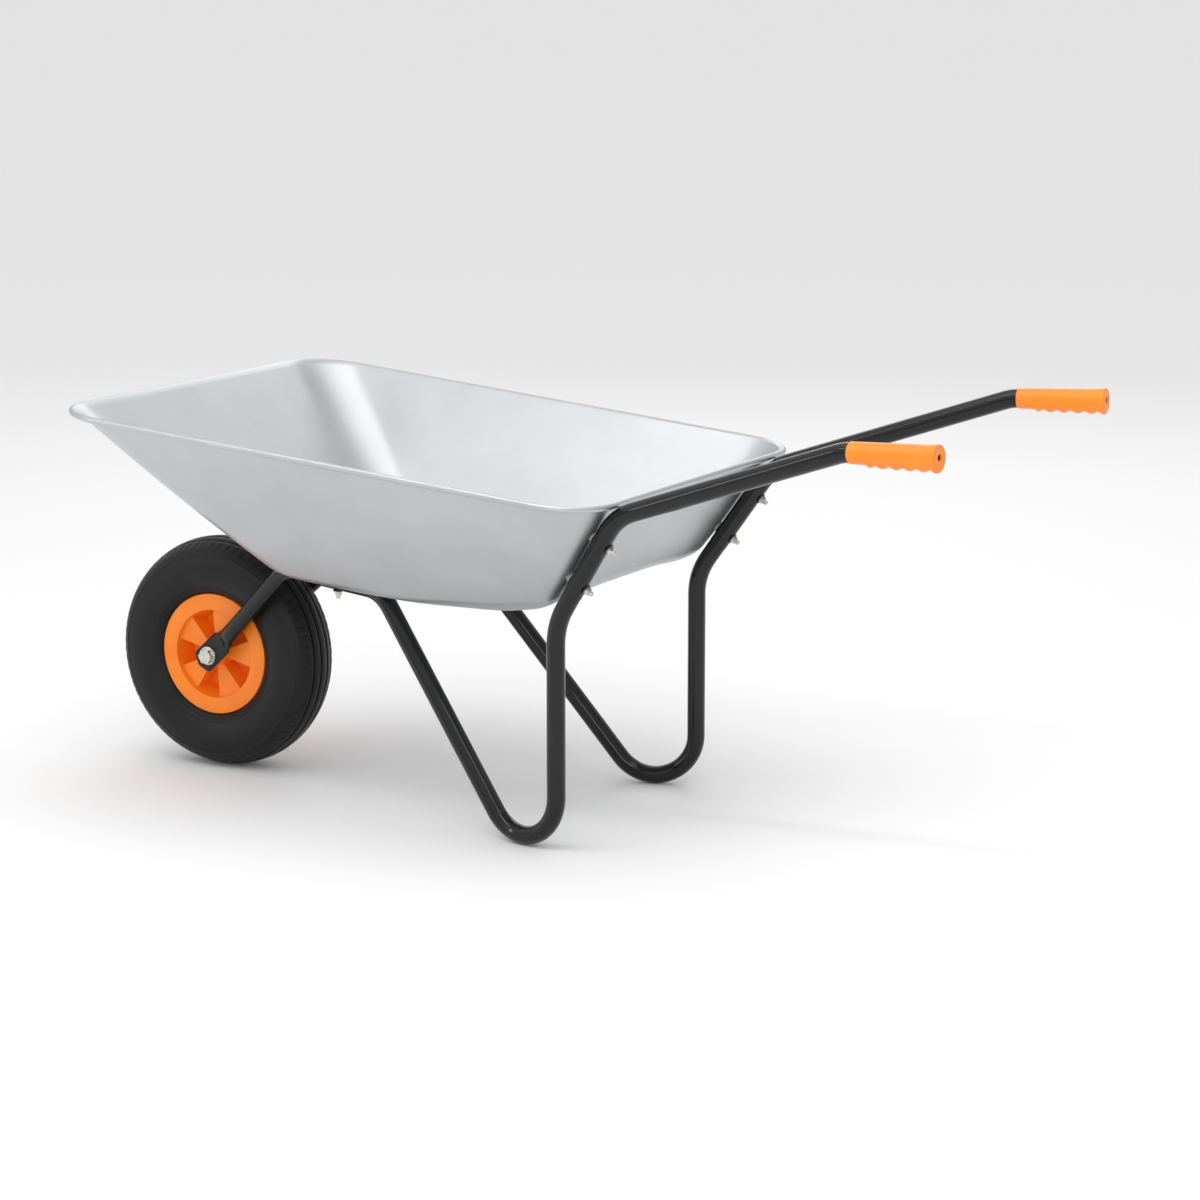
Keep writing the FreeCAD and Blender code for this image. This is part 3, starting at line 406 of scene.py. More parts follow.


# %% [markdown]
# ## Moulded plastics
# The rim is polypropylene, moulded in orange: an even, slightly waxy skin with a soft sheen.
# The grips are softer PVC with a finer, glossier skin. The washers, the spacers and the
# bushes are small nylon pieces.

# %% Orange and black plastics
def moulded_plastic(name, pale, deep, rough_low, rough_high, lumps, depth):
    """A mottled plastic; lumps is how many colour patches there are in a metre."""
    material, tree, shader, place = new_material(name)
    mottle = noise(tree, place, lumps, 3.0)
    tone = blend_colours(tree, spread(tree, mottle, 0.3, 0.7, 0, 1), pale, deep)
    tree.links.new(tone, shader.inputs["Base Color"])
    rough = spread(tree, mottle, 0.3, 0.7, rough_low, rough_high)
    tree.links.new(rough, shader.inputs["Roughness"])
    skin = noise(tree, place, 900.0, 2.0)
    tree.links.new(bump(tree, skin, depth, 0.4), shader.inputs["Normal"])
    return material


# %% [markdown]
# ## Tyre rubber
# Rubber filled with carbon is nearly black and scatters light widely, with a dull sheen on
# the sidewall. Handling and dust grey it a little in soft patches.

# %% Rubber
def tyre_rubber():
    material, tree, shader, place = new_material("tyre_rubber")
    dust = noise(tree, place, 24.0, 5.0, 0.6)
    grain = noise(tree, place, 700.0, 2.0)
    tone = blend_colours(tree, spread(tree, dust, 0.35, 0.7, 0, 1), "#0D0D0D", "#171616")
    tree.links.new(tone, shader.inputs["Base Color"])
    rough = spread(tree, dust, 0.3, 0.7, 0.38, 0.52)
    tree.links.new(rough, shader.inputs["Roughness"])
    shader.inputs["Specular IOR Level"].default_value = 0.3
    tree.links.new(bump(tree, grain, 0.00006, 0.5), shader.inputs["Normal"])
    return material


# %% [markdown]
# Each material is made once and shared by its pieces.

# %% Make the materials
galvanised = galvanised_sheet()
powder_coat = black_powder_coat()
zinc = zinc_plate()
steel = drawn_steel()
fine_skin, coarse_skin = 0.00003, 0.00004
rim_plastic = moulded_plastic(
    "orange_polypropylene", "#FF8A14", "#FB7F0C", 0.36, 0.46, 22.0, fine_skin
)
grip_plastic = moulded_plastic("orange_pvc", "#FF8E18", "#F98410", 0.3, 0.4, 30.0, fine_skin)
black_nylon = moulded_plastic("black_nylon", "#1B1B1B", "#141414", 0.35, 0.5, 60.0, fine_skin)
grey_nylon = moulded_plastic("grey_nylon", "#B9B9B4", "#A9A9A4", 0.4, 0.55, 60.0, fine_skin)
rubber = tyre_rubber()
tube_rubber = moulded_plastic("butyl_rubber", "#1A1A1A", "#121212", 0.5, 0.62, 80.0, coarse_skin)


# %% [markdown]
# A finished piece gets its material, the body that it moves with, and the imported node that
# it stands for.


# %% Give a piece its material and its body
def finish_piece(piece, material, body, replaced=()):
    piece.data.materials.clear()
    piece.data.materials.append(material)
    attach(piece, body)
    if replaced:
        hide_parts(*replaced)
    print(piece.name, len(piece.data.polygons), "faces")


# %% [markdown]
# ## Bent tubes
# A tube bender pushes a straight pipe forward, turns it round a former, and pushes it on.
# The same is done here: a circle is extruded along each straight run and spun round each
# bend. The operator's turn runs against the usual right-hand rule, so its angle is negative.


# %% A pipe that follows its corner points
def quarter_turn(heading):
    return heading.to_track_quat("Z", "Y").to_euler()


def bend_pipe(name, radius, corners, bend_radii, sides=36):
    heading = (corners[1] - corners[0]).normalized()
    pick_nothing()
    bpy.ops.mesh.primitive_circle_add(
        vertices=sides, radius=radius, location=corners[0], rotation=quarter_turn(heading)
    )
    pipe = added(name)
    edit(pipe)
    bpy.ops.mesh.select_all(action="SELECT")
    reached = corners[0]
    for before, corner, after, bend in zip(corners, corners[1:], corners[2:], bend_radii):
        arriving = (corner - before).normalized()
        leaving = (after - corner).normalized()
        turn = arriving.angle(leaving)
        reach = bend * tan(turn / 2)
        entry = corner - arriving * reach
        bpy.ops.mesh.extrude_region_move(TRANSFORM_OT_translate={"value": entry - reached})
        axis = arriving.cross(leaving).normalized()
        steps = max(6, int(degrees(turn) / 4))
        middle = entry + axis.cross(arriving) * bend
        bpy.ops.mesh.spin(steps=steps, angle=-turn, center=middle, axis=axis)
        reached = corner + leaving * reach
    bpy.ops.mesh.extrude_region_move(TRANSFORM_OT_translate={"value": corners[-1] - reached})
    bpy.ops.object.mode_set(mode="OBJECT")
    return pipe


# %% [markdown]
# ## The frame tube
# Each frame tube lies in one upright plane that opens outwards from the wheel. It starts at
# the axle, rises to the tray's front foot, runs level under the floor, slopes down to the
# foot, comes back up as the leg and leans back along the tray's rear wall. The corner points
# below are where its straight runs would meet.

# %% The tube's corner points
pipe_radius = 0.01225
fork_angle = radians(42.85)
fork_x, knee_x, leg_x = 156.5, 339.3, 650.8
axle_z, ankle_z, spade_length = 165.0, 302.2, 35.0
spade_y, leg_y, foot_bend = 46.6, 198.0, 61.0
crease_x = spade_length * cos(fork_angle)
spread_rate = (leg_y - spade_y) / (leg_x - crease_x)
floor_fall = tan(radians(2.4))


def in_frame(x, z):
    """A point of the left frame tube's upright plane, in millimetres."""
    return from_axle(x, -(spade_y + spread_rate * (x - crease_x)), z)


crease_z = axle_z + spade_length * sin(fork_angle)
fork_z = crease_z + (fork_x - crease_x) * tan(fork_angle)
knee_z = fork_z - (knee_x - fork_x) * floor_fall
crease = in_frame(crease_x, crease_z)
fork = in_frame(fork_x, fork_z)
knee = in_frame(knee_x, knee_z)
ankle = in_frame(leg_x, ankle_z)


def foot_corner():
    """Where the brace and the leg would meet, so that the bend between them rests on the floor."""
    away = (leg_x - knee_x) * hypot(1, spread_rate)
    drop = knee_z - pipe_radius * 1000 - foot_bend
    slope = atan2(drop, away - foot_bend) + asin(foot_bend / hypot(away - foot_bend, drop))
    return in_frame(leg_x, knee_z - away * tan(slope))


neck_run = Vector((1, -spread_rate, tan(radians(56.3)))).normalized()
seam = ankle + neck_run * 0.0523
fork_run = (fork - crease).normalized()
round_start = crease + fork_run * 0.039
print("seam of the handle tube", tuple(round(v, 4) for v in seam))

# %% [markdown]
# ## The flattened end
# The front end of each tube is pressed flat to take the axle bolt. The pipe keeps its
# girth, so it widens as it flattens, and its outer wall folds in along the middle first,
# which leaves a shallow trough that opens into the flat. Rings are extruded from the round
# pipe, and each ring's corners are then pressed a little flatter than the last.


# %% Press the pipe's end flat
def pressed_ring(centre, width_way, thin_way, flat, wide, thin, trough, side_count):
    """The corners of one ring, from round (flat = 0) to fully pressed (flat = 1)."""
    ring = []
    for step in range(side_count):
        turn = 2 * pi * step / side_count
        around = Vector((cos(turn), sin(turn)))
        straight = wide - thin
        quarter = (turn % pi) / pi
        across_flat = cos(pi * quarter) if turn < pi else -cos(pi * quarter)
        share = 1 - 2 * quarter if turn < pi else 2 * quarter - 1
        pressed_u = straight * share + thin * across_flat * abs(share) ** 6
        pressed_v = thin * (1 if turn < pi else -1) * (1 - abs(share) ** 8)
        u = around.x * pipe_radius * (1 - flat) + pressed_u * flat
        v = around.y * pipe_radius * (1 - flat) + pressed_v * flat
        dent = trough * max(0.0, 1 - abs(share) * 1.25) ** 1.5
        v -= dent * (1 if v > 0 else -0.35)
        ring.append(centre + width_way * u + thin_way * v)
    return ring


def press_spade(pipe, first_ring):
    """Extrude the first ring forward again and again, and press each new ring.

    A station is the distance behind the axle, how flat the pipe is there (0 round, 1 flat)
    and how deep the trough is. The last five round off the spade's end.
    """
    along = Vector((cos(fork_angle), 0, sin(fork_angle)))
    width_way = Vector((-sin(fork_angle), 0, cos(fork_angle)))
    outward = Vector((0, -1, 0))
    centre_axle = from_axle(0, -spade_y, axle_z)
    stations = [
        (0.052, 0.06, 0.0), (0.046, 0.16, 0.0002), (0.040, 0.32, 0.0010), (0.0355, 0.48, 0.0022),
        (0.0335, 0.58, 0.0028), (0.0325, 0.80, 0.0012), (0.0310, 0.97, 0.0002), (0.028, 1.0, 0.0),
        (0.012, 1.0, 0.0), (0.0, 1.0, 0.0), (-0.0150, 1.0, 0.0), (-0.0165, 1.0, 0.0),
        (-0.0190, 1.0, 0.0), (-0.0209, 1.0, 0.0), (-0.0220, 1.0, 0.0), (-0.0225, 1.0, 0.0),
    ]
    edit(pipe)
    select_where(pipe, "verts", lambda corner: corner.index in first_ring)
    mesh = bmesh.from_edit_mesh(pipe.data)
    mesh.verts.ensure_lookup_table()
    before = [mesh.verts[i].co.copy() for i in first_ring]
    first_centre = sum(before, Vector()) / len(before)
    angles = []
    for place in before:
        away = place - first_centre
        angles.append(atan2(away.dot(outward), away.dot(width_way)) % (2 * pi))
    order = sorted(range(len(before)), key=lambda i: angles[i])
    for distance, flat, trough in stations:
        wide = 0.018
        if distance < -0.0150:
            rounded = sqrt(max(0.0, 0.0267 ** 2 - (0.0042 - distance) ** 2))
            wide = rounded if distance > -0.0224 else 0.004
        thin = 0.0016
        at = centre_axle + along * distance
        if distance > 0.035:
            share = (distance - 0.035) / 0.039
            at = crease.lerp(round_start, share)
        bpy.ops.mesh.extrude_region_move(TRANSFORM_OT_translate={"value": (0, 0, 0)})
        moved = selected_corners(pipe)
        target = pressed_ring(at, width_way, outward, flat, wide, thin, trough, len(moved))
        table = {}
        for corner in moved:
            nearest = min(range(len(before)), key=lambda i: (before[i] - corner.co).length)
            table[nearest] = corner
        for rank, index in enumerate(order):
            table[index].co = target[rank]
        before = [table[i].co.copy() for i in range(len(before))]
        bmesh.update_edit_mesh(pipe.data)
    bpy.ops.mesh.edge_face_add()
    bpy.ops.object.mode_set(mode="OBJECT")


# %% [markdown]
# ## Build the two frame tubes
# The pipe stops just inside the handle tube, where the real one is drawn down to slide in.

# %% Frame tubes
corners = [round_start, fork, knee, foot_corner(), ankle, seam + neck_run * 0.002]
frame_left = bend_pipe("frame_left", pipe_radius, corners, [0.070, 0.055, foot_bend / 1000, 0.090])
press_spade(frame_left, list(range(36)))
tidy_mesh(frame_left)
smooth(frame_left, 32)
frame_right = across(frame_left, "frame_right")
smooth(frame_right, 32)
finish_piece(frame_left, powder_coat, "frame", ["frame_tube_left"])
finish_piece(frame_right, powder_coat, "frame", ["frame_tube_right"])

# %% [markdown]
# ## The handle tubes
# Each handle is a second pipe that the leg slides into. Its lower end is cut square, and its
# skin stands a little proud of the leg, so that the seam between them shows. It starts as a
# bent skin and then gets its wall. The grip hides its open end.

# %% Handle tubes
grip_run = Vector((1, -tan(radians(4.9)), tan(radians(2.0)))).normalized()
grip_end = Vector((box_high.x - 0.016 * sqrt(1 - grip_run.x ** 2), -0.2745, 0.5724))
elbow = ankle + neck_run * 0.1853
wrist = grip_end - grip_run * (0.1205 + 0.060 * tan(radians(8.5)))
corners = [seam, elbow, wrist, grip_end - grip_run * 0.004]
seam_step, handle_wall = 0.0004, 0.0019
handle_left = bend_pipe("handle_left", pipe_radius + seam_step, corners, [0.080, 0.060])
tidy_mesh(handle_left)
apply_modifier(handle_left, "SOLIDIFY", thickness=handle_wall, offset=-1, use_rim=True)
smooth(handle_left, 40)
handle_right = across(handle_left, "handle_right")
smooth(handle_right, 40)
finish_piece(handle_left, powder_coat, "frame", ["handle_tube_left"])
finish_piece(handle_right, powder_coat, "frame", ["handle_tube_right"])

# %% [markdown]
# ## The tray
# The tray is one sheet, drawn in a press. Its walls lean out from a floor that first falls
# and then rises towards the handles, its corners are wide at the rim and tight at the floor,
# and its rim is rolled round a wire. The floor lies on the two tubes: a raised panel in the
# middle, a narrow seat on either side along the tubes, a sharp crease, and then two bands
# that hang lower than the tubes. Rings are extruded from the rolled rim down the wall and
# round the foot, and the floor is a grid that meets the last ring.

# %% Heights of the floor and the rim
kink_x = axle.x + 0.415
sheet = 0.0009


def floor_height(x):
    """The underside of the sheet where it rests on the tubes, with a soft bend at the kink."""
    fall, rise, soft = tan(radians(2.4)), tan(radians(4.0)), 0.045
    away = x - kink_x
    bend = 0.25 * (fall + rise) * max(0.0, soft - abs(away)) ** 2 / soft
    return 0.3117 + (away * rise if away > 0 else -away * fall) + bend


def rim_height(x):
    return 0.549 - (x + 0.5852) * tan(radians(5.2))


def ease(share):
    share = min(1.0, max(0.0, share))
    return share * share * (3 - 2 * share)


def band_drop(x):
    """How far the side bands hang below the seats on the tubes."""
    along = x - axle.x
    if along < 0.546:
        return 0.014 * max(0.0, (along - 0.188) / 0.358) ** 0.6
    return 0.014 - 0.0075 * ease((along - 0.546) / 0.106)


# %% [markdown]
# Seen from above, every ring is the same kind of outline: straight front, rounded corner,
# side, rounded corner, straight rear. The points of the straight front and rear are spaced
# so that the lines of the floor's creases run through them.

# %% One outline of the tray
front_marks = [0, 30, 60, 82, 87, 92, 98, 105, 111.4, 112.6]
rear_marks = [0, 45, 88, 126, 133, 139, 143.5, 146, 148.2, 149.4]
front_shares = [mark / 119 for mark in front_marks]
rear_shares = [mark / 152 for mark in rear_marks]
arc_steps, side_steps = 12, 36


def half_outline(front, rear, front_round, rear_round, waist=0.0):
    """The left half of an outline, from the middle of its front to the middle of its rear."""
    front_corner, rear_corner = Vector((front[0], -front[1])), Vector((rear[0], -rear[1]))
    front_middle, rear_middle = Vector((front[0], 0)), Vector((rear[0], 0))
    first = round_corner(front_middle, front_corner, rear_corner, front_round, arc_steps)
    last = round_corner(front_corner, rear_corner, rear_middle, rear_round, arc_steps)
    points = [front_middle.lerp(first[0], share) for share in front_shares] + first
    for step in range(1, side_steps):
        share = step / side_steps
        inward = Vector((0, waist * sin(pi * share) ** 1.5))
        points.append(first[-1].lerp(last[0], share) + inward)
    points += last
    return points + [rear_middle.lerp(last[-1], share) for share in reversed(rear_shares)]


def mm(*values):
    return tuple(value / 1000 for value in values)


mouth = half_outline(mm(-577.73, 320.9), mm(224.71, 311.0), 0.0725, 0.0725)
foot = half_outline(mm(-337.0, 172.0), mm(126.65, 200.8), 0.044, 0.014, 0.009)
inset = half_outline(mm(-299.7, 149.3), mm(96.2, 178.1), 0.030, 0.026, 0.009)
half_count = len(mouth)
print("corners in a half ring", half_count, len(foot), len(inset))


# %% [markdown]
# A wall point lies on the line from the rim to the foot. The side and front walls bow out a
# little between them, as pressed sheet does. The rear wall is bolted to the handles and is
# flat. Where the rear foot hangs lower, it slides down in the wall's own plane. All corners
# are laid on the sheet's inner face, and the thickness then grows outwards.


# %% Sections of the tray
def outward_way(index, outline):
    before = outline[max(0, index - 1)]
    after = outline[min(len(outline) - 1, index + 1)]
    run = (after - before).normalized()
    return Vector((run.y, -run.x))


def bead_section(turn):
    """Outward and upward distance of the rolled rim's skin, seen from the wall's top."""
    return 0.0034 + 0.0041 * cos(radians(turn)), -0.0041 + 0.0041 * sin(radians(turn))


def lowered(x, y):
    """How much the sheet hangs below the seats at a place: bands down, middle panel up."""
    share = min(1.0, max(0.0, (x - inset[0].x) / (inset[-1].x - inset[0].x)))
    crease_y = 0.112 + (0.1488 - 0.112) * share
    panel_y = 0.087 + (0.133 - 0.087) * share
    edge_y = 0.1493 + (0.1781 - 0.1493) * share - 0.009 * sin(pi * share) ** 1.5
    settled = ease(share * 12) * ease((1 - share) * 14)
    beyond = abs(y) - crease_y
    band = band_drop(x) * ease(beyond / (edge_y - crease_y))
    band += 0.0012 * settled * ease(beyond / 0.0006)
    panel = 0.0024 * settled * (1 - ease((abs(y) - panel_y + 0.005) / 0.010))
    return band - panel


rear_slope = 0.667
mouth_points, foot_points, inset_points = [], [], []
for index in range(half_count):
    a, b, c = mouth[index], foot[index], inset[index]
    mouth_points.append(Vector((a.x, a.y, rim_height(a.x))))
    share = min(1.0, abs(b.y) / 0.150)
    drop = band_drop(b.x) * ease((share - 0.55) / 0.45)
    slide = rear_slope * drop * max(0.0, outward_way(index, foot).x)
    foot_points.append(Vector((b.x - slide, b.y, floor_height(b.x) - drop)))
    inset_height = floor_height(c.x) - lowered(c.x, c.y) + sheet
    inset_points.append(Vector((c.x, c.y, inset_height)))


def fillet_reach(index):
    """How far up the wall the bend into the floor starts: long at the front, short at the side."""
    way = outward_way(index, foot)
    front_share = max(0.0, -way.x) ** 2
    rear_share = max(0.0, way.x) ** 2
    return 0.0227 + (0.0373 - 0.0227) * front_share + (0.0304 - 0.0227) * rear_share


def wall_inset(way):
    """The step from the outer face of a wall to its inner face."""
    return Vector((way.x, way.y, -rear_slope)).normalized() * sheet


def wall_point(index, share):
    """A point on the wall. All walls but the rear one, which is bolted flat, bow out a little."""
    top, low = mouth_points[index], foot_points[index]
    way = outward_way(index, mouth)
    bow = 0.0035 * sin(pi * share) * (1 - max(0.0, way.x))
    return top.lerp(low, share) + Vector((way.x, way.y, -0.4)) * bow - wall_inset(way)


# %% [markdown]
# The first thirteen rings go round the rolled rim, nine go down the wall, and eight turn
# the wall into the floor.

# %% The tray's rings
rings = []
for turn in (-162, -140, -115, -90, -65, -40, -15, 10, 35, 60, 85, 105, 120):
    out, up = bead_section(turn)
    ring = []
    for index in range(half_count):
        way = outward_way(index, mouth)
        rise = up - way.x * out * tan(radians(5.2))
        ring.append(mouth_points[index] + Vector((way.x * out, way.y * out, rise)))
    rings.append(ring)
for share in (0.016, 0.035, 0.08, 0.16, 0.26, 0.38, 0.5, 0.62, 0.74):
    rings.append([wall_point(index, share) for index in range(half_count)])
for step in range(1, 9):
    t = step / 9
    ring = []
    for index in range(half_count):
        top, end = mouth_points[index], inset_points[index]
        corner = foot_points[index] - wall_inset(outward_way(index, foot))
        length = (corner - top).length
        start_share = 1 - fillet_reach(index) / length
        start = wall_point(index, start_share)
        pull = cos(radians(24))
        shares = ((1 - t) ** 2, 2 * t * (1 - t) * pull, t * t)
        ring.append((start * shares[0] + corner * shares[1] + end * shares[2]) / sum(shares))
    rings.append(ring)
rings.append(inset_points)


def both_sides(half):
    """Close a half ring with its mirror image."""
    mirrored = [Vector((point.x, -point.y, point.z)) for point in reversed(half[1:-1])]
    return half + mirrored


tray = ring_body("tray_sheet", [both_sides(ring) for ring in rings])
print("tray rings", len(rings), "faces", len(tray.data.polygons))

# %% [markdown]
# The floor is a flat grid as dense as the ring. Each of its rows runs from a point of the
# front edge to the matching point of the rear edge, which is how the creases come out as
# straight lines that open towards the rear.

# %% The tray's floor
half_arc = arc_steps // 2
marks = len(front_marks)
front_edge = inset[:marks + half_arc + 1]
rear_edge = list(reversed(inset))[:marks + half_arc + 1]
side_edge = inset[marks + half_arc:len(inset) - marks - half_arc]
columns, rows = len(side_edge), 2 * len(front_edge) - 1
pick_nothing()
bpy.ops.mesh.primitive_grid_add(x_subdivisions=columns - 1, y_subdivisions=rows - 1, size=1)
tray_floor = added("tray_floor_panel")
grid = sorted(
    tray_floor.data.vertices, key=lambda corner: (round(corner.co.x, 5), round(corner.co.y, 5))
)
for number, corner in enumerate(grid):
    column, row = divmod(number, rows)
    rank = row - (rows - 1) // 2
    side = -1 if rank < 0 else 1
    rank = abs(rank)
    u = (side_edge[column].x - side_edge[0].x) / (side_edge[-1].x - side_edge[0].x)
    at = front_edge[rank].lerp(rear_edge[rank], u)
    edge = front_edge[-1].lerp(rear_edge[-1], u)
    at.y += (side_edge[column].y - edge.y) * (at.y / edge.y) ** 3
    corner.co = (at.x, -side * at.y, floor_height(at.x) - lowered(at.x, at.y) + sheet)
pick(tray_floor)
tray.select_set(True)
bpy.context.view_layer.objects.active = tray
bpy.ops.object.join()
tidy_mesh(tray, 0.00005)
apply_modifier(tray, "SOLIDIFY", thickness=sheet, offset=-1, use_rim=True)
smooth(tray, 32)
finish_piece(tray, galvanised, "frame", ["tray"])

# %% [markdown]
# ## The grips
# Each grip is a soft PVC sleeve pushed over the tube's end. Its back is smooth, and its
# underside has five hollows for the fingers. The section is turned ring by ring from the
# thin end to the palm, round the lip, through the small vent and back along the bore.

# %% Grips
grip_length, finger_pitch = 0.120, 0.0185
grip_start = grip_end - grip_run * grip_length
grip_side = grip_run.cross(Vector((0, 0, 1))).normalized()
grip_down = grip_run.cross(grip_side).normalized()
if grip_down.z > 0:
    grip_down = -grip_down
grip_sides = 40


def grip_ring(along, radius, finger=0.0):
    """One ring of the grip, pushed out below by a finger ridge."""
    ring = []
    for step in range(grip_sides):
        turn = 2 * pi * step / grip_sides
        below = max(0.0, cos(turn)) ** 1.3
        reach = radius + finger * below
        way = grip_down * cos(turn) + grip_side * sin(turn)
        ring.append(grip_start + grip_run * along + way * reach)
    return ring


def finger_height(along):
    """The hollows for the fingers, with a rounded ridge between each two."""
    from_end = grip_length - 0.002 - along
    share = from_end / finger_pitch
    if from_end < 0 or share > 5:
        return 0.0
    ridge = abs(cos(pi * share)) ** 1.7
    return 0.0004 + 0.0030 * ridge


bore = pipe_radius + 0.0005
rings = [grip_ring(0.0, bore), grip_ring(0.0, 0.0133), grip_ring(0.0005, 0.0136)]
stations = [0.006, 0.012, 0.018, 0.022] + [0.0255 + 0.00185 * step for step in range(50)]
for along in stations:
    radius = 0.0136 + 0.0012 * min(1.0, along / 0.096) + 0.0010 * ease((along - 0.100) / 0.016)
    blend = ease((along - 0.0235) / 0.004)
    rings.append(grip_ring(along, radius, finger_height(along) * blend))
rings += [grip_ring(0.1183, 0.0160, 0.0026), grip_ring(0.1193, 0.0157, 0.0020)]
rings += [grip_ring(0.1199, 0.0149, 0.0010), grip_ring(0.120, 0.0140), grip_ring(0.120, 0.0050)]
rings += [grip_ring(0.1197, 0.0045), grip_ring(0.117, 0.0045)]
rings += [grip_ring(0.117, bore), grip_ring(0.0, bore)]
grip_left = ring_body("grip_sleeve_left", rings)
tidy_mesh(grip_left, 0.00001)
smooth(grip_left, 50)
grip_right = across(grip_left, "grip_sleeve_right")
smooth(grip_right, 50)
finish_piece(grip_left, grip_plastic, "frame", ["grip_left"])
finish_piece(grip_right, grip_plastic, "frame", ["grip_right"])

# %% [markdown]
# ## The rim
# The rim is two equal mouldings, back to back. Each has a flat ring that holds the tyre's
# bead, five raised wedges that stand nearly as high as the ring, and five deep pockets
# between them whose walls lean a little so that the moulding leaves its tool. A circle with
# a corner every two degrees is extruded inwards, and each ring's corners are lowered where
# a pocket is.

# %% Rim halves
rim_steps = 180
first_wedge, wedge_half = 3.5, 19.0


def pocket_share(step):
    """1 in a pocket and 0 on a wedge."""
    turn = (degrees(2 * pi * step / rim_steps) - first_wedge) % 72
    from_wedge = min(turn, 72 - turn)
    return 1.0 if from_wedge > wedge_half else 0.0


def wheel_point(turn, radius, y):
    """A place on the wheel; the angle is seen from the left, up from +X."""
    return Vector((axle.x + radius * cos(turn), y, axle.z + radius * sin(turn)))


def rim_ring(radius, height, pocket_radius=None, pocket_height=None):
    ring = []
    for step in range(rim_steps):
        low = pocket_share(step)
        r = radius + ((radius if pocket_radius is None else pocket_radius) - radius) * low
        h = height + ((height if pocket_height is None else pocket_height) - height) * low
        ring.append(wheel_point(2 * pi * step / rim_steps, r / 1000, -h / 1000))
    return ring


# Radius and height of each section in millimetres; a second pair is for the pockets.
sections = [
    (67, 0.3), (67, 14.5), (67.6, 15.6), (75.6, 20.6), (76, 22), (76, 30.6), (76.8, 31.5),
    (85.6, 31.5), (86.4, 32.2), (86.6, 34.4), (86.0, 35.2), (85.2, 35.5),
    (64.4, 35.5), (63.6, 35.2), (63.3, 34.5),
    (62.9, 29.2, 62.9, 28.8), (62.4, 28.6, 62.3, 27.0), (61.8, 28.5, 61.9, 25.5),
    (57.0, 28.5, 56.6, 3.2), (56.0, 28.5, 55.8, 2.0), (50, 28.5, 54.6, 1.6), (36, 28.5, 36, 1.6),
    (19.4, 28.5, 20.4, 1.6), (18.8, 29.1, 18.9, 2.6), (18.6, 29.8, 18.8, 4),
    (18.5, 39.9), (17.9, 40.5),
    (11.2, 40.5), (11.1, 40.2), (11.1, 22), (9.6, 22), (9.6, 0.3), (67, 0.3),
]
rim_left = ring_body("rim_moulding_left", [rim_ring(*section) for section in sections])
tidy_mesh(rim_left, 0.00001)
edge_round = 0.0004
apply_modifier(
    rim_left, "BEVEL", width=edge_round, segments=1, limit_method="ANGLE", angle_limit=radians(60)
)
smooth(rim_left, 40)
rim_right = across(rim_left, "rim_moulding_right")
smooth(rim_right, 40)
finish_piece(rim_left, rim_plastic, "wheel", ["rim_half_left"])
finish_piece(rim_right, rim_plastic, "wheel", ["rim_half_right"])

# %% [markdown]
# ## The tyre
# The tyre has a rounded crown with four grooves round it, and short slits across each
# shoulder, seventy-two on a side. Real slits are finer and more; these are as fine as they
# need to be to show. The sidewall swells past the rim and has raised moulding
# rings near the bead and below the shoulder. The whole section is one closed loop of rings,
# and every sixth corner is pressed in on the shoulder to make a slit.

# %% The tyre's rings
tyre_steps, slit_pitch = 432, 6
crown, shoulder_y, shoulder_drop = 165.0, 38.0, 13.0
crown_round = (shoulder_y ** 2 + shoulder_drop ** 2) / (2 * shoulder_drop)


def crown_radius(y):
    return crown - (crown_round - sqrt(crown_round ** 2 - y * y))


def tyre_ring(y, radius, slit=0.0):
    """One ring of the tyre; where a slit is, the corner is pressed down and inwards."""
    pull = 1 if y > 0 else -1
    ring = []
    for step in range(tyre_steps):
        cut = slit if step % slit_pitch == 0 else 0.0
        turn = 2 * pi * step / tyre_steps
        ring.append(wheel_point(turn, (radius - cut) / 1000, (y - pull * cut * 0.6) / 1000))
    return ring


# %% [markdown]
# The section is written from the middle of the tread to the bead, and then back along the
# inside. The first list gives depths below the crown, the second how far each corner of the
# side wall stands proud of its swell.

# %% The tyre's section
half_section = []
for y, depth, slit in (
    (0.0, 0, 0), (5.4, 0, 0), (5.9, 0.3, 0), (6.4, 3.2, 0), (8.4, 3.2, 0), (8.9, 0.3, 0),
    (9.4, 0, 0), (14, 0, 0), (18.3, 0, 0), (18.8, 0.3, 0), (19.3, 3.2, 0), (21.3, 3.2, 0),
    (21.8, 0.3, 0), (22.3, 0, 0), (26.0, 0, 0), (27.6, 0, 0.9), (31.0, 0, 0.9), (35.0, 0, 0.8),
    (37.4, 0, 0.5),
):
    half_section.append((y, crown_radius(y) - depth, slit))
for share, proud, slit in (
    (0.03, 0, 0.3), (0.07, 0, 0), (0.10, 0, 0), (0.115, 0.7, 0), (0.13, 0.7, 0), (0.145, 0, 0),
    (0.2, 0, 0), (0.28, 0, 0), (0.36, 0, 0), (0.44, 0, 0), (0.52, 0, 0), (0.60, 0, 0),
    (0.68, 0, 0), (0.76, 0, 0), (0.82, 0, 0), (0.835, 0.8, 0), (0.85, 0.8, 0), (0.865, 0, 0),
    (0.91, 0, 0), (0.925, 1.0, 0), (0.95, 1.1, 0), (0.97, 0, 0), (1.0, 0, 0),
):
    swell = 11.2 * (1 - (2 * share - 1) ** 2) ** 0.85
    half_section.append((38.0 - 3.5 * share + swell + proud, 152.0 - 64.5 * share, slit))
half_section += [(31.2, 86.2, 0), (31.2, 77.2, 0), (30.0, 76.3, 0), (23.0, 76.3, 0)]
half_section += [(23.0, 86.0, 0), (34.0, 98.0, 0), (39.5, 122, 0), (34.0, 143, 0), (16.0, 153.0, 0)]
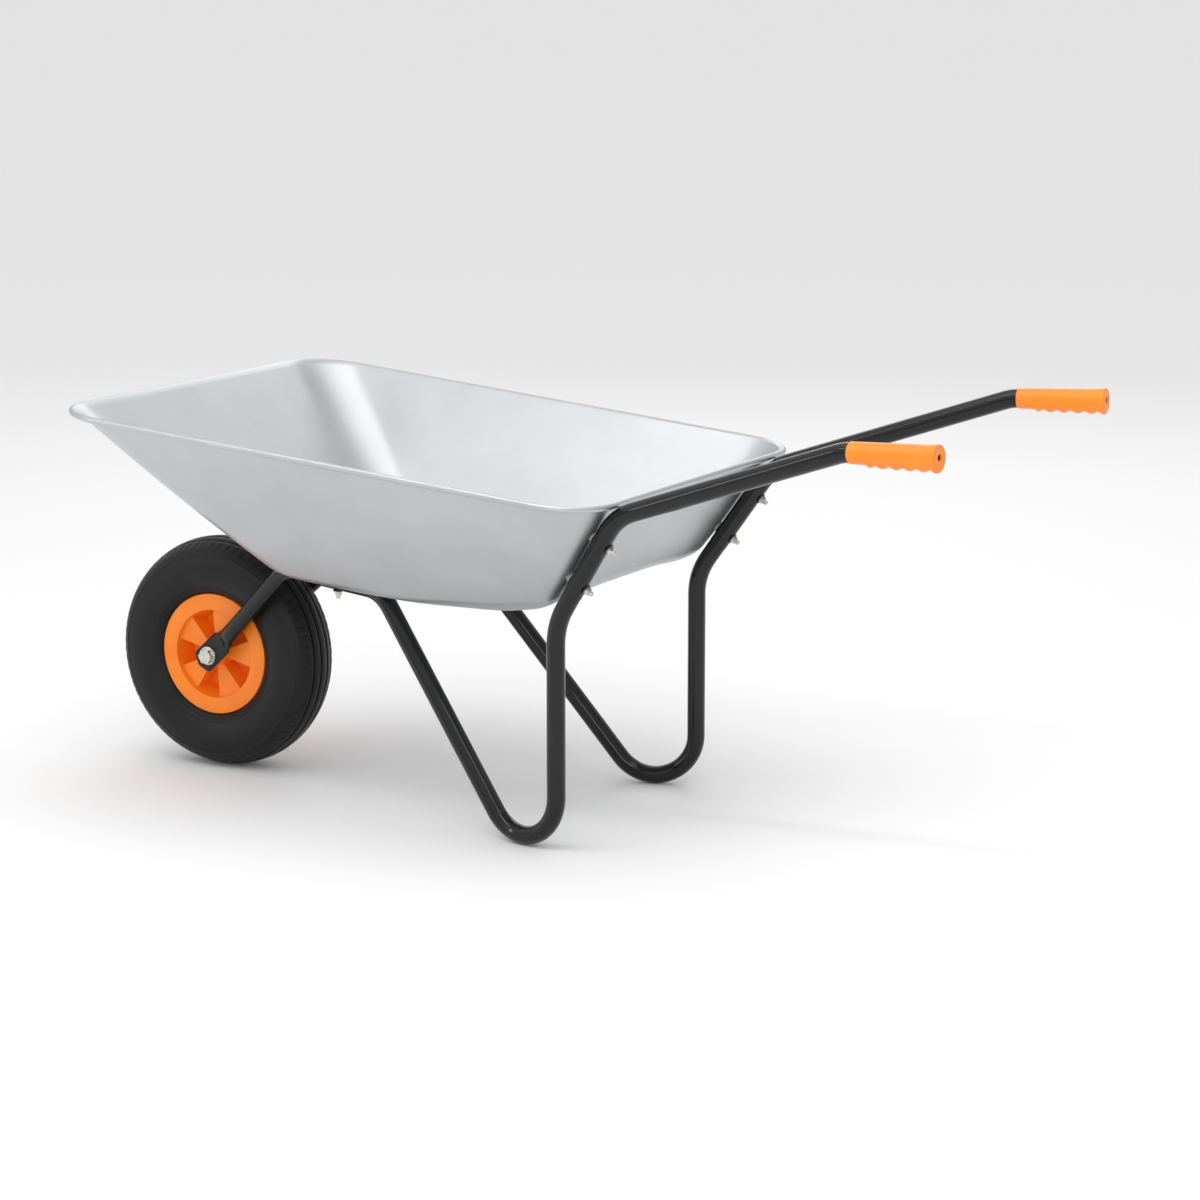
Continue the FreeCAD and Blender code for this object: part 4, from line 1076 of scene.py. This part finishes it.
loop = half_section + [(0.0, 155.0, 0)] + [(-y, r, s) for y, r, s in reversed(half_section)]
rings = [tyre_ring(*section) for section in loop]
tyre_body = ring_body("tyre_carcass", rings)
tidy_mesh(tyre_body, 0.00001)
smooth(tyre_body, 38)
finish_piece(tyre_body, rubber, "wheel", ["tyre"])

# %% [markdown]
# ## Carried-over nodes
# Small turned pieces already have the right shape, so they only need their material.

# %% Materials for the nodes that stay
kept = {
    "rim_wire": steel, "rear_washers": black_nylon, "rear_nuts": zinc, "wall_spacers": grey_nylon,
    "rear_bolts": zinc, "floor_bolts": zinc, "floor_washers": black_nylon, "floor_nuts": zinc,
    "axle_bolt": zinc, "axle_nut": zinc, "axle_washers": zinc, "axle_sleeve": steel,
    "thrust_washers": steel, "bush_left": black_nylon, "bush_right": black_nylon,
    "inner_tube": tube_rubber, "valve_stem": tube_rubber, "valve_cap": black_nylon,
}
for name, material in kept.items():
    nodes[name].data.materials.clear()
    nodes[name].data.materials.append(material)

# %% [markdown]
# ## Floor and light
# The floor is a plain pale sheet, much wider than the view.

# %% The floor and the sky
pick_nothing()
bpy.ops.mesh.primitive_plane_add(size=500, location=(0, 0, -0.0002))
studio_floor = added("studio_floor")
paper, _, paper_shader, _ = new_material("studio_paper")
paper_shader.inputs["Base Color"].default_value = colour("#F4F4F4")
paper_shader.inputs["Roughness"].default_value = 0.9
studio_floor.data.materials.append(paper)

world = bpy.data.worlds.new("studio")
bpy.context.scene.world = world
world.use_nodes = True
sky = world.node_tree.nodes["Background"]
sky.inputs["Color"].default_value = (1, 1, 1, 1)
sky.inputs["Strength"].default_value = 0.72


# %% [markdown]
# A weak and very wide sun fills the inside of the tray without a burnt spot. The
# large panel overhead gives the soft top light, and the narrow strips draw the bright lines
# along the tubes.


# %% The lights
def light_panel(name, place, target, width, depth, power):
    data = bpy.data.lights.new(name, "AREA")
    data.shape = "RECTANGLE"
    data.size = width
    data.size_y = depth
    data.energy = power
    panel = bpy.data.objects.new(name, data)
    bpy.context.scene.collection.objects.link(panel)
    panel.location = place
    panel.rotation_euler = (Vector(target) - Vector(place)).to_track_quat("-Z", "Y").to_euler()
    return panel


sun = bpy.data.lights.new("diffuser", "SUN")
sun.energy = 0.45
sun.angle = radians(100)
diffuser = bpy.data.objects.new("diffuser", sun)
bpy.context.scene.collection.objects.link(diffuser)
diffuser.rotation_euler = (radians(24), radians(-14), 0)
tray_middle = (0, 0, 0.3)
light_panel("overhead", (0.2, -0.4, 3.2), tray_middle, 3.4, 2.2, 26)
light_panel("overhead_strip", (0.1, -1.3, 2.2), tray_middle, 3.0, 0.10, 9)
light_panel("left_strip", (1.6, -3.0, 1.3), tray_middle, 0.16, 1.8, 9)
light_panel("front_strip", (-2.6, -2.4, 1.3), tray_middle, 0.16, 1.8, 7)
light_panel("far_side", (-1.2, 3.0, 2.2), tray_middle, 2.0, 1.0, 12)
print("lights placed")
